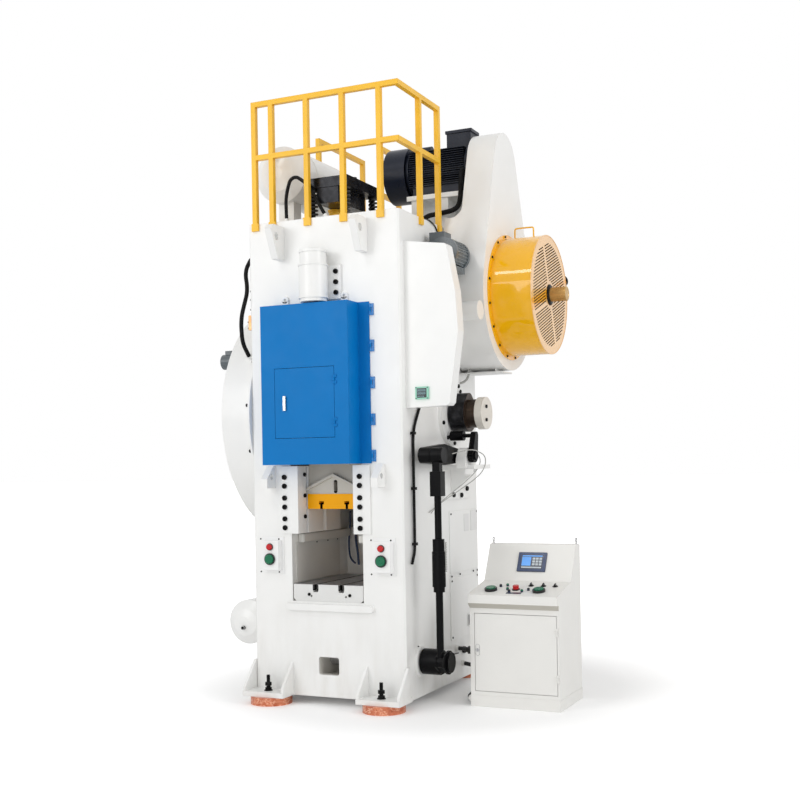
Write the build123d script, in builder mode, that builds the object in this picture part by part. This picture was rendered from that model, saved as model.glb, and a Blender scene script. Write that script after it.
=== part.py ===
"""Knuckle-joint stamping press with its control console, in millimetres.

+X is the operator's right, +Y runs from the front to the back and +Z is up. The origin
is on the floor under the middle of the frame. Depths are counted from the frame's front face.
"""
import os
from math import acos, asin, atan2, cos, degrees, hypot, pi, radians, sin, sqrt, tan

from build123d import *

os.makedirs("parts", exist_ok=True)

# Frame
frame_width = 1340
frame_depth = 1560
frame_top = 3850
pad_height = 65
pad_radius = 167
foot_reach = 180
foot_plate = 40
foot_half_gap = 320
foot_overhang = 20
rib_height = 265
rib_thickness = 24
anchor_x = 500
anchor_depth = -95
anchor_radius = 16
lug_half = 30
upper_lug_x = 370
upper_lug_top = 3800
upper_lug_height = 265
upper_lug_reach = 200
upper_eye_radius = 30
upper_eye_reach = 120
upper_eye_height = upper_lug_top - 90
lower_lug_x = 487
lower_lug_top = 1895
lower_lug_height = 178
lower_lug_reach = 130
lower_eye_radius = 22
lower_eye_reach = 60
lower_eye_height = lower_lug_top - 90
side = frame_width / 2
front = -frame_depth / 2
back = frame_depth / 2
frame_height = frame_top - pad_height

# Die space and slide guides
window_half = 317
bed_top = 816
bolster_thickness = 134
bolster_half = 310
bolster_depth = 880
bolster_top = bed_top + bolster_thickness
gib_bottom = 1352
gib_top = 1890
gib_inner = 246
gib_outer = 394
gib_face = 125
gib_stand = 15
slide_half = 240
slide_front = 130
slide_depth = 560
slide_gap = 0.5
slide_back = slide_front + slide_depth
slide_plate_bottom = 1543
slide_plate_thickness = 120
slide_crown = 24
key_half = 30
key_reach = 25
cavity_back = 1400
crown_space = 226

# Knuckle links and eccentric drive
link_length = 450
throw = 125
crank_depth = 970
crank_height = 2300
rod_length = 435
journal_radius = 100
eccentric_radius = 230
strap_radius = 285
small_eye_radius = 110
rod_inner = 130
rod_outer = 250
link_half = 120
tongue_half = 60
link_eye_radius = 118
pin_radius = 55
running_gap = 0.05
side_gap = 0.5
slide_centre = crank_depth - throw - rod_length
knuckle_depth = slide_centre + 2 * throw
swing = asin(2 * throw / link_length)
anchor_height = crank_height + link_length * cos(swing)
slide_pin_height = crank_height - link_length * cos(swing)
slide_top = slide_pin_height + slide_crown
cavity_top = anchor_height + crown_space

# Gear train
gear_module = 21
gear_teeth = 86
pinion_teeth = 14
pressure_angle = 25
backlash = 1.2
gear_width = 150
gear_gap = 45
train_lean = 20
gear_distance = gear_module * (gear_teeth + pinion_teeth) / 2
pinion_depth = crank_depth + gear_distance * sin(radians(train_lean))
pinion_height = crank_height + gear_distance * cos(radians(train_lean))
shaft_radius = 90
gear_cover_radius = 985
gear_cover_depth = 280
cover_wall = 10

# Flywheel, belts and main motor
flywheel_radius = 560
flywheel_start = 880
belt_width = 22
belt_thickness = 14
belt_pitch = 34
belt_count = 5
motor_depth = 1290
motor_height = 4415
pulley_radius = 130
motor_radius = 200
cowl_radius = 240
cowl_length = 200
motor_left = 42
motor_right = 833
fin_height = 26
fin_count = 30
guard_start = 690
guard_step = 835
guard_ledge = 3920
guard_sheet = 5
guard_end = 1080
guard_low_radius = 615
guard_top_radius = 262
drum_radius = 495
drum_flange_radius = 528
drum_end = 1440
spindle_radius = 60
spindle_end = 1590

# Covers on the front
cover_left = -460
cover_right = 312
cover_flange = 408
cover_reach = 190
cover_bottom = 1901
cover_top = 3152
sheet = 6
door_left = -340
door_right = 191
door_bottom = 2106
door_top = 2655
door_gap = 3
cover_hinge_x = cover_flange + 10
cover_hinge_depth = -11
cover_hinge_half = 45
cover_knuckle = 9
cover_hinges = (1960, 2240, 2525, 2810, 3090)

# Knock-out linkage on the right side
lever_depth = 810
lever_drop = 350
lever_height = crank_height - lever_drop
lever_shaft_radius = 36
lever_end_height = lever_height + 5
roller_depth = 850
roller_height = lever_height + 165
roller_radius = 40
bracket_top = lever_height - 75
bracket_drop = 285
fork_relief = 84
knock_depth = 250
knock_height = 350
knock_shaft_radius = 70
knock_arm = 100
knock_rise = 10
ejector_arm = slide_centre - knock_depth
ejector_radius = 30
rod_x = 890
rod_depth = knock_depth - knock_arm * cos(radians(knock_rise))
rod_foot = knock_height + knock_arm * sin(radians(knock_rise))
drum_start = 712

# Hand stations beside the die space
station_xs = (-485, 502)
station_height = 1180
station_reach = 60
stop_height = 1247
palm_height = 1150
palm_radius = 38
stop_radius = 24
stem_radius = 9

# Deck
deck = frame_top
rail_top = 4810
rail_middle = 4380
tube = 40

# Console
console_left = 1050
console_right = 1770
console_front = 372
console_back = 958
desk_edge = 332
desk_front = 872
desk_depth = 698
desk_back = 950
console_height = 1232
slope_top = 845
plinth_top = 88
console_sheet = 4
console_door_x = (1086, 1753)
console_door_z = (120, 725)
console_palms = ((1200, 450), (1590, 450))
console_stop_at = (1395, 480)
selectors = ((1485, 580), (1585, 580), (1680, 580))
button_bore = 30


def at(depth):
    """Y of a point this far behind the frame's front face."""
    return front + depth


def side_plane(x):
    """A plane across X: its sketch runs along Y and Z, and it extrudes to the right."""
    return Plane.YZ.offset(x)


def face_plane(depth):
    """A plane parallel to the front face: its sketch runs along X and Z, and it extrudes forwards."""
    return Plane.XZ.offset(-at(depth))


def save(name, label):
    """Labels a finished sub-part and writes it to its file."""
    name.part.label = label
    export_step(name.part, f"parts/{label}.step")


def block(x, depth, z, mode=Mode.ADD):
    """A box between pairs of X, depth and Z."""
    with Locations(((x[0] + x[1]) / 2, at((depth[0] + depth[1]) / 2), (z[0] + z[1]) / 2)):
        Box(x[1] - x[0], depth[1] - depth[0], z[1] - z[0], mode=mode)


def cross_rod(radius, x, depth, z, mode=Mode.ADD):
    """A cylinder along X."""
    with BuildSketch(side_plane(x[0])) as profile:
        with Locations((at(depth), z)):
            Circle(radius)
    extrude(profile.sketch, amount=x[1] - x[0], mode=mode)


def face_rod(radius, x, z, depth, mode=Mode.ADD):
    """A cylinder along Y, from the first depth back to the second."""
    with BuildSketch(face_plane(depth[1])) as profile:
        with Locations((x, z)):
            Circle(radius)
    extrude(profile.sketch, amount=depth[1] - depth[0], mode=mode)


def post(radius, x, depth, z, mode=Mode.ADD):
    """A cylinder along Z."""
    with BuildSketch(Plane.XY.offset(z[0])) as profile:
        with Locations((x, at(depth))):
            Circle(radius)
    extrude(profile.sketch, amount=z[1] - z[0], mode=mode)


def side_hull(x, circles, mode=Mode.ADD):
    """The hull of circles given as (depth, z, radius), between two X."""
    with BuildSketch(side_plane(x[0])) as profile:
        for depth, z, radius in circles:
            with Locations((at(depth), z)):
                Circle(radius)
        make_hull()
    extrude(profile.sketch, amount=x[1] - x[0], mode=mode)


def side_outline(x, points, mode=Mode.ADD):
    """A polygon of (depth, z) points, between two X."""
    with BuildSketch(side_plane(x[0])) as profile:
        Polygon(*[(at(depth), z) for depth, z in points], align=None)
    extrude(profile.sketch, amount=x[1] - x[0], mode=mode)


def front_outline(depth, points, mode=Mode.ADD):
    """A polygon of (x, z) points, between two depths."""
    with BuildSketch(face_plane(depth[1])) as profile:
        Polygon(*points, align=None)
    extrude(profile.sketch, amount=depth[1] - depth[0], mode=mode)


def hinge_heights(centre, half, joint_gap=0.5):
    """Z spans of the lower fixed, moving and upper fixed knuckles of one hinge."""
    third = half / 3
    return ((centre - half, centre - third - joint_gap), (centre - third, centre + third),
            (centre + third + joint_gap, centre + half))


def fixed_knuckles(x, depth, centre, half, radius, leaf):
    """The fixed half of a hinge: two knuckles, their pin and a leaf out to the X of its edge."""
    low, middle, high = hinge_heights(centre, half)
    for span in (low, high):
        post(radius, x, depth, span)
        block(sorted((x, leaf)), (depth, depth + radius), span)
    post(radius / 2, x, depth, (low[0], high[1]))


def moving_knuckle(x, depth, centre, half, radius, leaf):
    """The moving half of a hinge: one knuckle on a leaf, bored for the pin."""
    middle = hinge_heights(centre, half)[1]
    post(radius, x, depth, middle)
    block(sorted((x, leaf)), (depth, depth + radius), middle)
    post(radius / 2 + running_gap, x, depth, (middle[0] - 1, middle[1] + 1), Mode.SUBTRACT)


def gear_points(teeth, phase):
    """Points round a gear of involute teeth, the first tooth centred at phase degrees."""
    pitch = gear_module * teeth / 2
    base = pitch * cos(radians(pressure_angle))
    root = pitch - 1.25 * gear_module
    tip = pitch + 0.92 * gear_module
    lean = tan(radians(pressure_angle)) - radians(pressure_angle)
    half = pi / (2 * teeth) - backlash / (4 * pitch) + lean
    start = max(base, root)
    flank = []
    for step in range(4):
        radius = start + (tip - start) * step / 3
        angle = acos(base / radius)
        flank.append((radius, half - (tan(angle) - angle)))
    if root < start:
        flank.insert(0, (root, flank[0][1]))
    points = []
    for tooth in range(teeth):
        middle = radians(phase + tooth * 360 / teeth)
        for radius, angle in flank:
            points.append((radius, middle - angle))
        for radius, angle in reversed(flank):
            points.append((radius, middle + angle))
    return [(radius * cos(angle), radius * sin(angle)) for radius, angle in points]


def bend_radii(points):
    """One radius for each corner, as large as its two runs allow."""
    radii = []
    for before, corner, after in zip(points, points[1:], points[2:]):
        arriving, leaving = Vector(*corner) - Vector(*before), Vector(*after) - Vector(*corner)
        half_turn = radians(arriving.get_angle(leaving)) / 2
        radii.append(0.45 * min(arriving.length, leaving.length) / tan(half_turn))
    return radii


def tube_route(points, radius):
    """A round tube along points, with its corners bent as widely as they can be."""
    with BuildLine() as path:
        FilletPolyline(*points, radius=bend_radii(points))
    spine = path.wires()[0]
    with BuildSketch(Plane(origin=spine @ 0, z_dir=spine % 0)) as ring:
        Circle(radius)
    sweep(ring.sketch, path=spine)


def route(*points):
    """Route points given as X, depth and Z, as points of the shared frame."""
    return [(x, at(depth), z) for x, depth, z in points]


def gland(points, radius, reach):
    """A short cylinder that carries a tube on beyond the last of its points."""
    with BuildSketch(Plane(origin=points[-1], z_dir=Vector(*points[-1]) - Vector(*points[-2]))) as ring:
        Circle(radius)
    extrude(ring.sketch, amount=reach)


# Free conduits between the frame and the console
conduit_radius = 17
gland_radius = 25
conduit_a_route = route((side + 25, 1003, 337), (900, 1012, 332), (1040, 1160, 190), (1110, 1350, 62),
                        (1290, 1440, 24), (1480, 1350, 40), (1560, 1165, 90), (1562, console_back + 25, 120))
conduit_b_route = route((side + 25, 1131, 190), (860, 1125, 170), (960, 1010, 110), (960, 850, 50),
                        (915, 620, 21), (console_left - 25, 440, 50))


# Hoses held along the frame
air_hose_radius = 17
deck_hose_radius = 14
wire_hose_radius = 11
air_hose_route = route((-side - 20, 170, 3617), (-side - 75, 150, 3605), (-side - 80, 60, 3490),
                       (-side - 78, 95, 3340), (-side - 78, -20, 3090), (-side - 78, 0, 2900),
                       (-side - 78, 95, 2800))
deck_hose_route = route((-340, 45, deck + 25), (-345, 45, 4060), (-285, 45, 4230), (-150, 45, 4140),
                        (10, 45, deck + 25))
die_hose_route = route((240, 935, 1290), (246, 922, 1220), (236, 922, 1050), (258, 925, bed_top + 20))

# Welded frame
foot_xs = (foot_half_gap + rib_thickness / 2, side + foot_overhang - rib_thickness / 2)
with BuildPart() as frame:
    block((-side, side), (0, frame_depth), (pad_height, frame_top))
    chamfer(frame.edges().filter_by(Axis.Z), 14)
    for hand in (-1, 1):
        xs = sorted((hand * foot_half_gap, hand * (side + foot_overhang)))
        for near, far in ((-foot_reach, 60), (frame_depth - 60, frame_depth + foot_reach)):
            block(xs, (near, far), (pad_height, pad_height + foot_plate))
        for rib_x in foot_xs:
            rib = sorted((hand * rib_x - rib_thickness / 2, hand * rib_x + rib_thickness / 2))
            for root, tip in ((0, -foot_reach + 10), (frame_depth, frame_depth + foot_reach - 10)):
                inner = root + (30 if root == 0 else -30)
                side_outline(rib, [(inner, pad_height + foot_plate), (tip, pad_height + foot_plate),
                                   (tip, pad_height + foot_plate + 30), (root, pad_height + rib_height),
                                   (inner, pad_height + rib_height)])
        for depth in (anchor_depth, frame_depth - anchor_depth):
            post(anchor_radius + 2, hand * anchor_x, depth, (pad_height - 1, pad_height + foot_plate + 1),
                 Mode.SUBTRACT)
    # Die space, gib rebate and the space of the knuckle links
    block((-window_half, window_half), (-1, bolster_depth + 70), (bed_top, gib_bottom + 1), Mode.SUBTRACT)
    block((-gib_outer, gib_outer), (-1, gib_face), (gib_bottom, gib_top), Mode.SUBTRACT)
    block((-window_half, window_half), (-1, cavity_back), (gib_bottom, cavity_top), Mode.SUBTRACT)
    # Bores of the shafts
    for x in ((-side - 1, -window_half + 1), (window_half - 1, side + 1)):
        cross_rod(eccentric_radius + 5, x, crank_depth, crank_height, Mode.SUBTRACT)
    cross_rod(shaft_radius + running_gap, (-side - 1, side + 1), pinion_depth, pinion_height, Mode.SUBTRACT)
    # Knock-out space in the bed, with its window in front
    with BuildSketch(face_plane(60)):
        with Locations((0, 310)):
            RectangleRounded(180, 140, 18)
    extrude(amount=62, mode=Mode.SUBTRACT)
    block((-90, 90), (59, 480), (222, 470), Mode.SUBTRACT)
    # Boss round the knock-out shaft, rest bar under the bolster and side access plates
    cross_rod(118, (side - 1, side + 32), knock_depth, knock_height)
    cross_rod(knock_shaft_radius + running_gap, (-150, side + 33), knock_depth, knock_height, Mode.SUBTRACT)
    post(30 + running_gap, 0, slide_centre, (400, bed_top + 1), Mode.SUBTRACT)
    post(42, 0, slide_centre, (bed_top - 25, bed_top + 1), Mode.SUBTRACT)
    with BuildSketch(face_plane(1)):
        with Locations((20, 772)):
            RectangleRounded(780, 54, 26)
    extrude(amount=35)
    for z, height in ((1230, 520), (670, 520)):
        with BuildSketch(side_plane(side - 1)):
            with Locations((at(1215), z)):
                RectangleRounded(640, height, 20)
        extrude(amount=7)
    # Lifting lugs, upper and lower pairs
    for hand in (-1, 1):
        upper = sorted((hand * upper_lug_x - lug_half, hand * upper_lug_x + lug_half))
        side_outline(upper, [(1, upper_lug_top), (40 - upper_lug_reach, upper_lug_top),
                             (-upper_lug_reach, upper_lug_top - 40),
                             (-upper_lug_reach / 2, upper_lug_top - upper_lug_height),
                             (1, upper_lug_top - upper_lug_height)])
        cross_rod(upper_eye_radius, (upper[0] - 1, upper[1] + 1), -upper_eye_reach, upper_eye_height, Mode.SUBTRACT)
        lower = sorted((hand * lower_lug_x - lug_half, hand * lower_lug_x + lug_half))
        side_outline(lower, [(1, lower_lug_top), (-25, lower_lug_top), (-lower_lug_reach, lower_lug_top - 105),
                             (-lower_lug_reach, lower_lug_top - lower_lug_height),
                             (1, lower_lug_top - lower_lug_height)])
        cross_rod(lower_eye_radius, (lower[0] - 1, lower[1] + 1), -lower_eye_reach, lower_eye_height, Mode.SUBTRACT)
    # Working platform behind the deck, on brackets
    block((-side, -270), (frame_depth - 1, frame_depth + 520), (frame_top - 45, frame_top))
    for x in (-side + 10, -290):
        side_outline((x, x + 12), [(frame_depth - 1, frame_top - 44), (frame_depth + 480, frame_top - 44),
                                   (frame_depth - 1, frame_top - 420)])
    for points in (conduit_a_route, conduit_b_route):
        gland(points[1::-1], gland_radius, 40)
    gland(air_hose_route[1::-1], air_hose_radius + 7, 40)
    for points, radius in ((deck_hose_route, deck_hose_radius + 5), (die_hose_route, wire_hose_radius + 4)):
        gland(points, radius, 45)
        gland(points[1::-1], radius, 45)
    # Fixed knuckles of the front cover's long hinge
    for centre in cover_hinges:
        fixed_knuckles(cover_hinge_x, cover_hinge_depth, centre, cover_hinge_half, cover_knuckle, 446)
        block((cover_hinge_x + 12, 446), (-9, 0.5), (centre - cover_hinge_half, centre + cover_hinge_half))
save(frame, "frame")

# Pads under the feet and the anchor bolts
with BuildPart() as foot_pads:
    for hand in (-1, 1):
        for depth in (-50, frame_depth + 50):
            post(pad_radius, hand * anchor_x, depth, (0, pad_height))
save(foot_pads, "foot_pads")

# Bolster with T-slots running front to back
slot_xs = (-112, 117)
with BuildPart() as bolster:
    block((-bolster_half, bolster_half), (6, 6 + bolster_depth), (bed_top, bolster_top))
    chamfer(bolster.edges().filter_by(Axis.Y).group_by(Axis.Z)[0], 22)
    for x in slot_xs:
        block((x - 11, x + 11), (5, 7 + bolster_depth), (bolster_top - 40, bolster_top + 1), Mode.SUBTRACT)
        block((x - 22, x + 22), (5, 7 + bolster_depth), (bolster_top - 60, bolster_top - 36), Mode.SUBTRACT)
    for x in (-150, 157):
        face_rod(9, x, bed_top + 42, (5, 40), Mode.SUBTRACT)
    post(30 + running_gap, 0, slide_centre, (bed_top - 1, bolster_top + 1), Mode.SUBTRACT)
    post(42, 0, slide_centre, (bed_top - 1, bed_top + 50), Mode.SUBTRACT)
save(bolster, "bolster")

# Front gib plates and side liners
with BuildPart() as gibs:
    for hand in (-1, 1):
        block(sorted((hand * gib_inner, hand * gib_outer)), (-gib_stand, gib_face), (gib_bottom, gib_top))
        liner = sorted((hand * (slide_half + slide_gap), hand * window_half))
        block(liner, (slide_front + 6, slide_back), (gib_bottom, gib_top))
        groove = sorted((hand * (slide_half - 1), hand * (slide_half + key_reach + slide_gap)))
        block(groove, (slide_centre - key_half - slide_gap, slide_centre + key_half + slide_gap),
              (gib_bottom - 1, gib_top + 1), Mode.SUBTRACT)
save(gibs, "gibs")

# Slide with its clevis for the lower link and the gabled front rib
plate_top = slide_plate_bottom + slide_plate_thickness
with BuildPart() as slide:
    block((-slide_half, slide_half), (slide_front + 30, slide_back), (plate_top, slide_top))
    front_outline((slide_front, slide_front + 31),
                  [(-slide_half, plate_top), (slide_half, plate_top), (slide_half, 1702), (0, 1815),
                   (-slide_half, 1702)])
    for hand in (-1, 1):
        front_outline((slide_front - 18, slide_front + 31),
                      [(0, 1825), (0, 1803), (hand * slide_half, 1690), (hand * slide_half, 1712)])
        cheek = sorted((hand * (link_half + side_gap), hand * slide_half))
        side_hull(cheek, [(slide_centre, slide_pin_height, 104), (slide_centre, slide_top - 60, 104)])
        block(sorted((hand * (slide_half - 1), hand * (slide_half + key_reach))),
              (slide_centre - key_half, slide_centre + key_half), (plate_top, slide_top))
    block((-link_half - side_gap, link_half + side_gap), (slide_centre - 190, slide_back - 40),
          (slide_pin_height - 150, slide_top + 200), Mode.SUBTRACT)
    cross_rod(pin_radius + running_gap, (-slide_half - 1, slide_half + 1), slide_centre, slide_pin_height,
              Mode.SUBTRACT)
    with BuildSketch(face_plane(slide_front + 60)):
        with Locations((17, 1722)):
            SlotOverall(106, 34, rotation=90)
    extrude(amount=80, mode=Mode.SUBTRACT)
with BuildPart() as slide_pin:
    cross_rod(pin_radius, (-slide_half + 2, slide_half - 2), slide_centre, slide_pin_height)
with BuildPart() as slide_group:
    add(slide.part)
    add(slide_pin.part)
save(slide_group, "slide")

# Slide plate with T-slots
with BuildPart() as slide_plate:
    block((-slide_half + 4, slide_half - 4), (slide_front - 4, slide_back - 6),
          (slide_plate_bottom, slide_plate_bottom + slide_plate_thickness))
    for x in slot_xs:
        block((x - 11, x + 11), (slide_front - 5, slide_back),
              (slide_plate_bottom - 1, slide_plate_bottom + 40), Mode.SUBTRACT)
        block((x - 22, x + 22), (slide_front - 5, slide_back),
              (slide_plate_bottom + 36, slide_plate_bottom + 62), Mode.SUBTRACT)
save(slide_plate, "slide_plate")

# Upper link seat in the crown, with its pin
with BuildPart() as upper_seat:
    block((-slide_half, slide_half), (slide_centre - 165, slide_centre + 165), (anchor_height + 40, cavity_top))
    for hand in (-1, 1):
        cheek = sorted((hand * (link_half + side_gap), hand * slide_half))
        side_hull(cheek, [(slide_centre, anchor_height, 108), (slide_centre, anchor_height + 60, 150)])
    block((-link_half - side_gap, link_half + side_gap), (slide_centre - 170, slide_centre + 170),
          (anchor_height - 150, anchor_height + link_eye_radius + 8), Mode.SUBTRACT)
    cross_rod(pin_radius + running_gap, (-slide_half - 1, slide_half + 1), slide_centre, anchor_height,
              Mode.SUBTRACT)
with BuildPart() as anchor_pin:
    cross_rod(pin_radius, (-slide_half + 2, slide_half - 2), slide_centre, anchor_height)
with BuildPart() as upper_block:
    add(upper_seat.part)
    add(anchor_pin.part)
save(upper_block, "upper_block")

# Upper link: a full eye at the crown, a tongue at the knuckle, and the knuckle pin
waist = 0.42
lean_depth = slide_centre + (knuckle_depth - slide_centre) * waist
lean_height = anchor_height + (crank_height - anchor_height) * waist
with BuildPart() as upper_arm:
    side_hull((-tongue_half, tongue_half), [(slide_centre, anchor_height, link_eye_radius),
                                           (knuckle_depth, crank_height, link_eye_radius)])
    side_hull((-link_half, link_half), [(slide_centre, anchor_height, link_eye_radius),
                                       (lean_depth, lean_height, 88)])
    cross_rod(pin_radius + running_gap, (-link_half - 1, link_half + 1), slide_centre, anchor_height,
              Mode.SUBTRACT)
    cross_rod(pin_radius + running_gap, (-link_half - 1, link_half + 1), knuckle_depth, crank_height,
              Mode.SUBTRACT)
with BuildPart() as knuckle_pin:
    cross_rod(pin_radius, (-link_half, link_half), knuckle_depth, crank_height)
with BuildPart() as upper_link:
    add(upper_arm.part)
    add(knuckle_pin.part)
save(upper_link, "upper_link")

# Lower link: a fork at the knuckle and a full eye in the slide
with BuildPart() as lower_link:
    side_hull((-link_half, link_half), [(slide_centre, slide_pin_height, link_eye_radius - 18),
                                       (knuckle_depth, crank_height, link_eye_radius)])
    cross_rod(link_eye_radius + 32, (-tongue_half - side_gap, tongue_half + side_gap), knuckle_depth,
              crank_height, Mode.SUBTRACT)
    for height in (slide_pin_height, crank_height):
        depth = slide_centre if height == slide_pin_height else knuckle_depth
        cross_rod(pin_radius + running_gap, (-link_half - 1, link_half + 1), depth, height, Mode.SUBTRACT)
save(lower_link, "lower_link")

# Eccentric shaft
pin_depth = crank_depth + throw
shaft_left = -side - gear_gap - gear_width - 20
shaft_right = side + 295
with BuildPart() as eccentric_shaft:
    cross_rod(journal_radius, (shaft_left, shaft_right), crank_depth, crank_height)
    for x in ((-rod_outer, -rod_inner), (rod_inner, rod_outer)):
        cross_rod(eccentric_radius, x, pin_depth, crank_height)
save(eccentric_shaft, "eccentric_shaft")

# Pair of eccentric rods, with the ends of the knuckle pin in their small eyes
with BuildPart() as eccentric_rods:
    for hand in (-1, 1):
        x = sorted((hand * (rod_inner + 2), hand * (rod_outer - 2)))
        side_hull(x, [(pin_depth, crank_height, strap_radius),
                      (pin_depth - rod_length, crank_height, small_eye_radius)])
        cross_rod(eccentric_radius + running_gap, x, pin_depth, crank_height, Mode.SUBTRACT)
        cross_rod(small_eye_radius - 24, (x[1] - 12, x[1]) if hand > 0 else (x[0], x[0] + 12),
                  pin_depth - rod_length, crank_height, Mode.SUBTRACT)
save(eccentric_rods, "eccentric_rods")

# Bearing housings of the eccentric shaft and the end cover of the adjusting gear
with BuildPart() as side_covers:
    for hand in (-1, 1):
        cross_rod(268, sorted((hand * side, hand * (side + 30))), crank_depth, crank_height)
        cross_rod(eccentric_radius + 5 - running_gap, sorted((hand * (window_half + 5), hand * (side + 1))),
                  crank_depth, crank_height)
        cross_rod(journal_radius + running_gap, sorted((hand * window_half, hand * (side + 31))),
                  crank_depth, crank_height, Mode.SUBTRACT)
    cross_rod(88, (side, side + 222), 600, 3105)
    cross_rod(104, (side + 215, side + 238), 600, 3105)
    cross_rod(76, (side + 230, side + 425), 600, 3105)
save(side_covers, "side_covers")

# Bull gear on the eccentric shaft, with pockets on both faces and lightening holes
gear_x = (-side - gear_gap - gear_width, -side - gear_gap)
with BuildPart() as bull_gear:
    with BuildSketch(Plane(origin=(gear_x[0], at(crank_depth), crank_height), x_dir=(0, 1, 0), z_dir=(1, 0, 0))):
        Polygon(*gear_points(gear_teeth, 90 - train_lean), align=None)
    extrude(amount=gear_width)
    for x in ((gear_x[0] - 1, gear_x[0] + 45), (gear_x[1] - 45, gear_x[1] + 1)):
        with BuildSketch(side_plane(x[0])):
            with Locations((at(crank_depth), crank_height)):
                Circle(800)
                Circle(210, mode=Mode.SUBTRACT)
        extrude(amount=x[1] - x[0], mode=Mode.SUBTRACT)
    with BuildSketch(side_plane(gear_x[0])):
        with Locations((at(crank_depth), crank_height)):
            with PolarLocations(505, 6):
                Circle(150)
    extrude(amount=gear_width, mode=Mode.SUBTRACT)
    cross_rod(journal_radius + running_gap, (gear_x[0] - 1, gear_x[1] + 1), crank_depth, crank_height,
              Mode.SUBTRACT)
save(bull_gear, "bull_gear")

# Pinion shaft across the crown, with the clutch plate and the bronze spindle end
with BuildPart() as pinion_shaft:
    cross_rod(shaft_radius, (gear_x[0] - 10, drum_end - 20), pinion_depth, pinion_height)
    cross_rod(spindle_radius, (drum_end - 21, spindle_end), pinion_depth, pinion_height)
    cross_rod(330, (1325, 1355), pinion_depth, pinion_height)
    with BuildSketch(Plane(origin=(gear_x[0], at(pinion_depth), pinion_height), x_dir=(0, 1, 0), z_dir=(1, 0, 0))):
        Polygon(*gear_points(pinion_teeth, 270 - train_lean + 180 / pinion_teeth), align=None)
    extrude(amount=gear_width)
save(pinion_shaft, "pinion_shaft")

# Gear cover on the left side: a closed shell round the gear and the pinion
cover_x = (-side - gear_cover_depth, -side)
with BuildPart() as gear_cover:
    side_hull(cover_x, [(crank_depth, crank_height, gear_cover_radius), (pinion_depth, pinion_height, 250)])
    side_hull((-side - 20, -side), [(crank_depth, crank_height, gear_cover_radius + 24),
                                    (pinion_depth, pinion_height, 274)])
    gland(air_hose_route, air_hose_radius + 7, 70)
    side_hull((cover_x[0] + cover_wall, cover_x[1] - cover_wall),
              [(crank_depth, crank_height, gear_cover_radius - cover_wall),
               (pinion_depth, pinion_height, 250 - cover_wall)], Mode.SUBTRACT)
    cross_rod(270, (cover_x[1] - cover_wall - 1, cover_x[1] + 1), crank_depth, crank_height, Mode.SUBTRACT)
    cross_rod(shaft_radius + 4, (cover_x[1] - cover_wall - 1, cover_x[1] + 1), pinion_depth, pinion_height,
              Mode.SUBTRACT)
save(gear_cover, "gear_cover")

# Knock-out cam on the right end of the eccentric shaft, with its end disc and the heads of its bolts
cam_end = side + 325
with BuildPart() as knockout_cam:
    side_hull((side + 40, side + 175), [(crank_depth, crank_height, 150), (crank_depth, crank_height + 95, 78)])
    cross_rod(118, (side + 174, side + 262), crank_depth, crank_height)
    cross_rod(134, (side + 262, cam_end), crank_depth, crank_height)
    for lift in (-55, 55):
        cross_rod(14, (cam_end - 1, cam_end + 12), crank_depth - 20, crank_height + lift)
    cross_rod(journal_radius + running_gap, (side + 39, shaft_right + 2), crank_depth, crank_height,
              Mode.SUBTRACT)
save(knockout_cam, "knockout_cam")

# Flywheel turned with its clutch drum, free on the pinion shaft
belt_xs = [flywheel_start + 27 + belt_pitch * n for n in range(belt_count)]
wheel_end = flywheel_start + 180
groove = belt_width / 2 + 0.5
with BuildPart() as flywheel:
    axis_plane = Plane(origin=(0, at(pinion_depth), pinion_height), x_dir=(1, 0, 0), z_dir=(0, -1, 0))
    bore = shaft_radius + running_gap
    with BuildSketch(axis_plane):
        Polygon((flywheel_start, bore), (1300, bore), (1300, 150), (1105, 150), (1105, 395), (1300, 395),
                (1300, 440), (wheel_end, 440), (wheel_end, flywheel_radius), (flywheel_start, flywheel_radius),
                (flywheel_start, 470), (1060, 470), (1060, 150), (flywheel_start, 150), align=None)
        for x in belt_xs:
            with Locations((x, flywheel_radius)):
                Rectangle(2 * groove, 2 * (belt_thickness + 0.3), mode=Mode.SUBTRACT)
    revolve(axis=Axis((0, at(pinion_depth), pinion_height), (1, 0, 0)))
save(flywheel, "flywheel")

# Drive belts
with BuildPart() as drive_belts:
    for x in belt_xs:
        span = (x - belt_width / 2, x + belt_width / 2)
        side_hull(span, [(pinion_depth, pinion_height, flywheel_radius), (motor_depth, motor_height, pulley_radius)])
        side_hull(span, [(pinion_depth, pinion_height, flywheel_radius - belt_thickness),
                         (motor_depth, motor_height, pulley_radius - belt_thickness)], Mode.SUBTRACT)
save(drive_belts, "drive_belts")

# Motor shaft with the grooved pulley and the fan
with BuildPart() as motor_rotor:
    cross_rod(30, (motor_left + 20, wheel_end), motor_depth, motor_height)
    cross_rod(pulley_radius, (flywheel_start, wheel_end), motor_depth, motor_height)
    for x in belt_xs:
        with BuildSketch(side_plane(x - groove)):
            with Locations((at(motor_depth), motor_height)):
                Circle(pulley_radius + 1)
                Circle(pulley_radius - belt_thickness - 0.3, mode=Mode.SUBTRACT)
        extrude(amount=2 * groove, mode=Mode.SUBTRACT)
    cross_rod(60, (motor_left + 60, motor_left + 120), motor_depth, motor_height)
    for n in range(7):
        blade = Plane(origin=(motor_left + 90, at(motor_depth), motor_height), x_dir=(1, 0, 0),
                      z_dir=(0, cos(2 * pi * n / 7), sin(2 * pi * n / 7)))
        with BuildSketch(blade.offset(50)):
            Rectangle(60, 6)
        extrude(amount=140)
save(motor_rotor, "motor_rotor")

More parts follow.
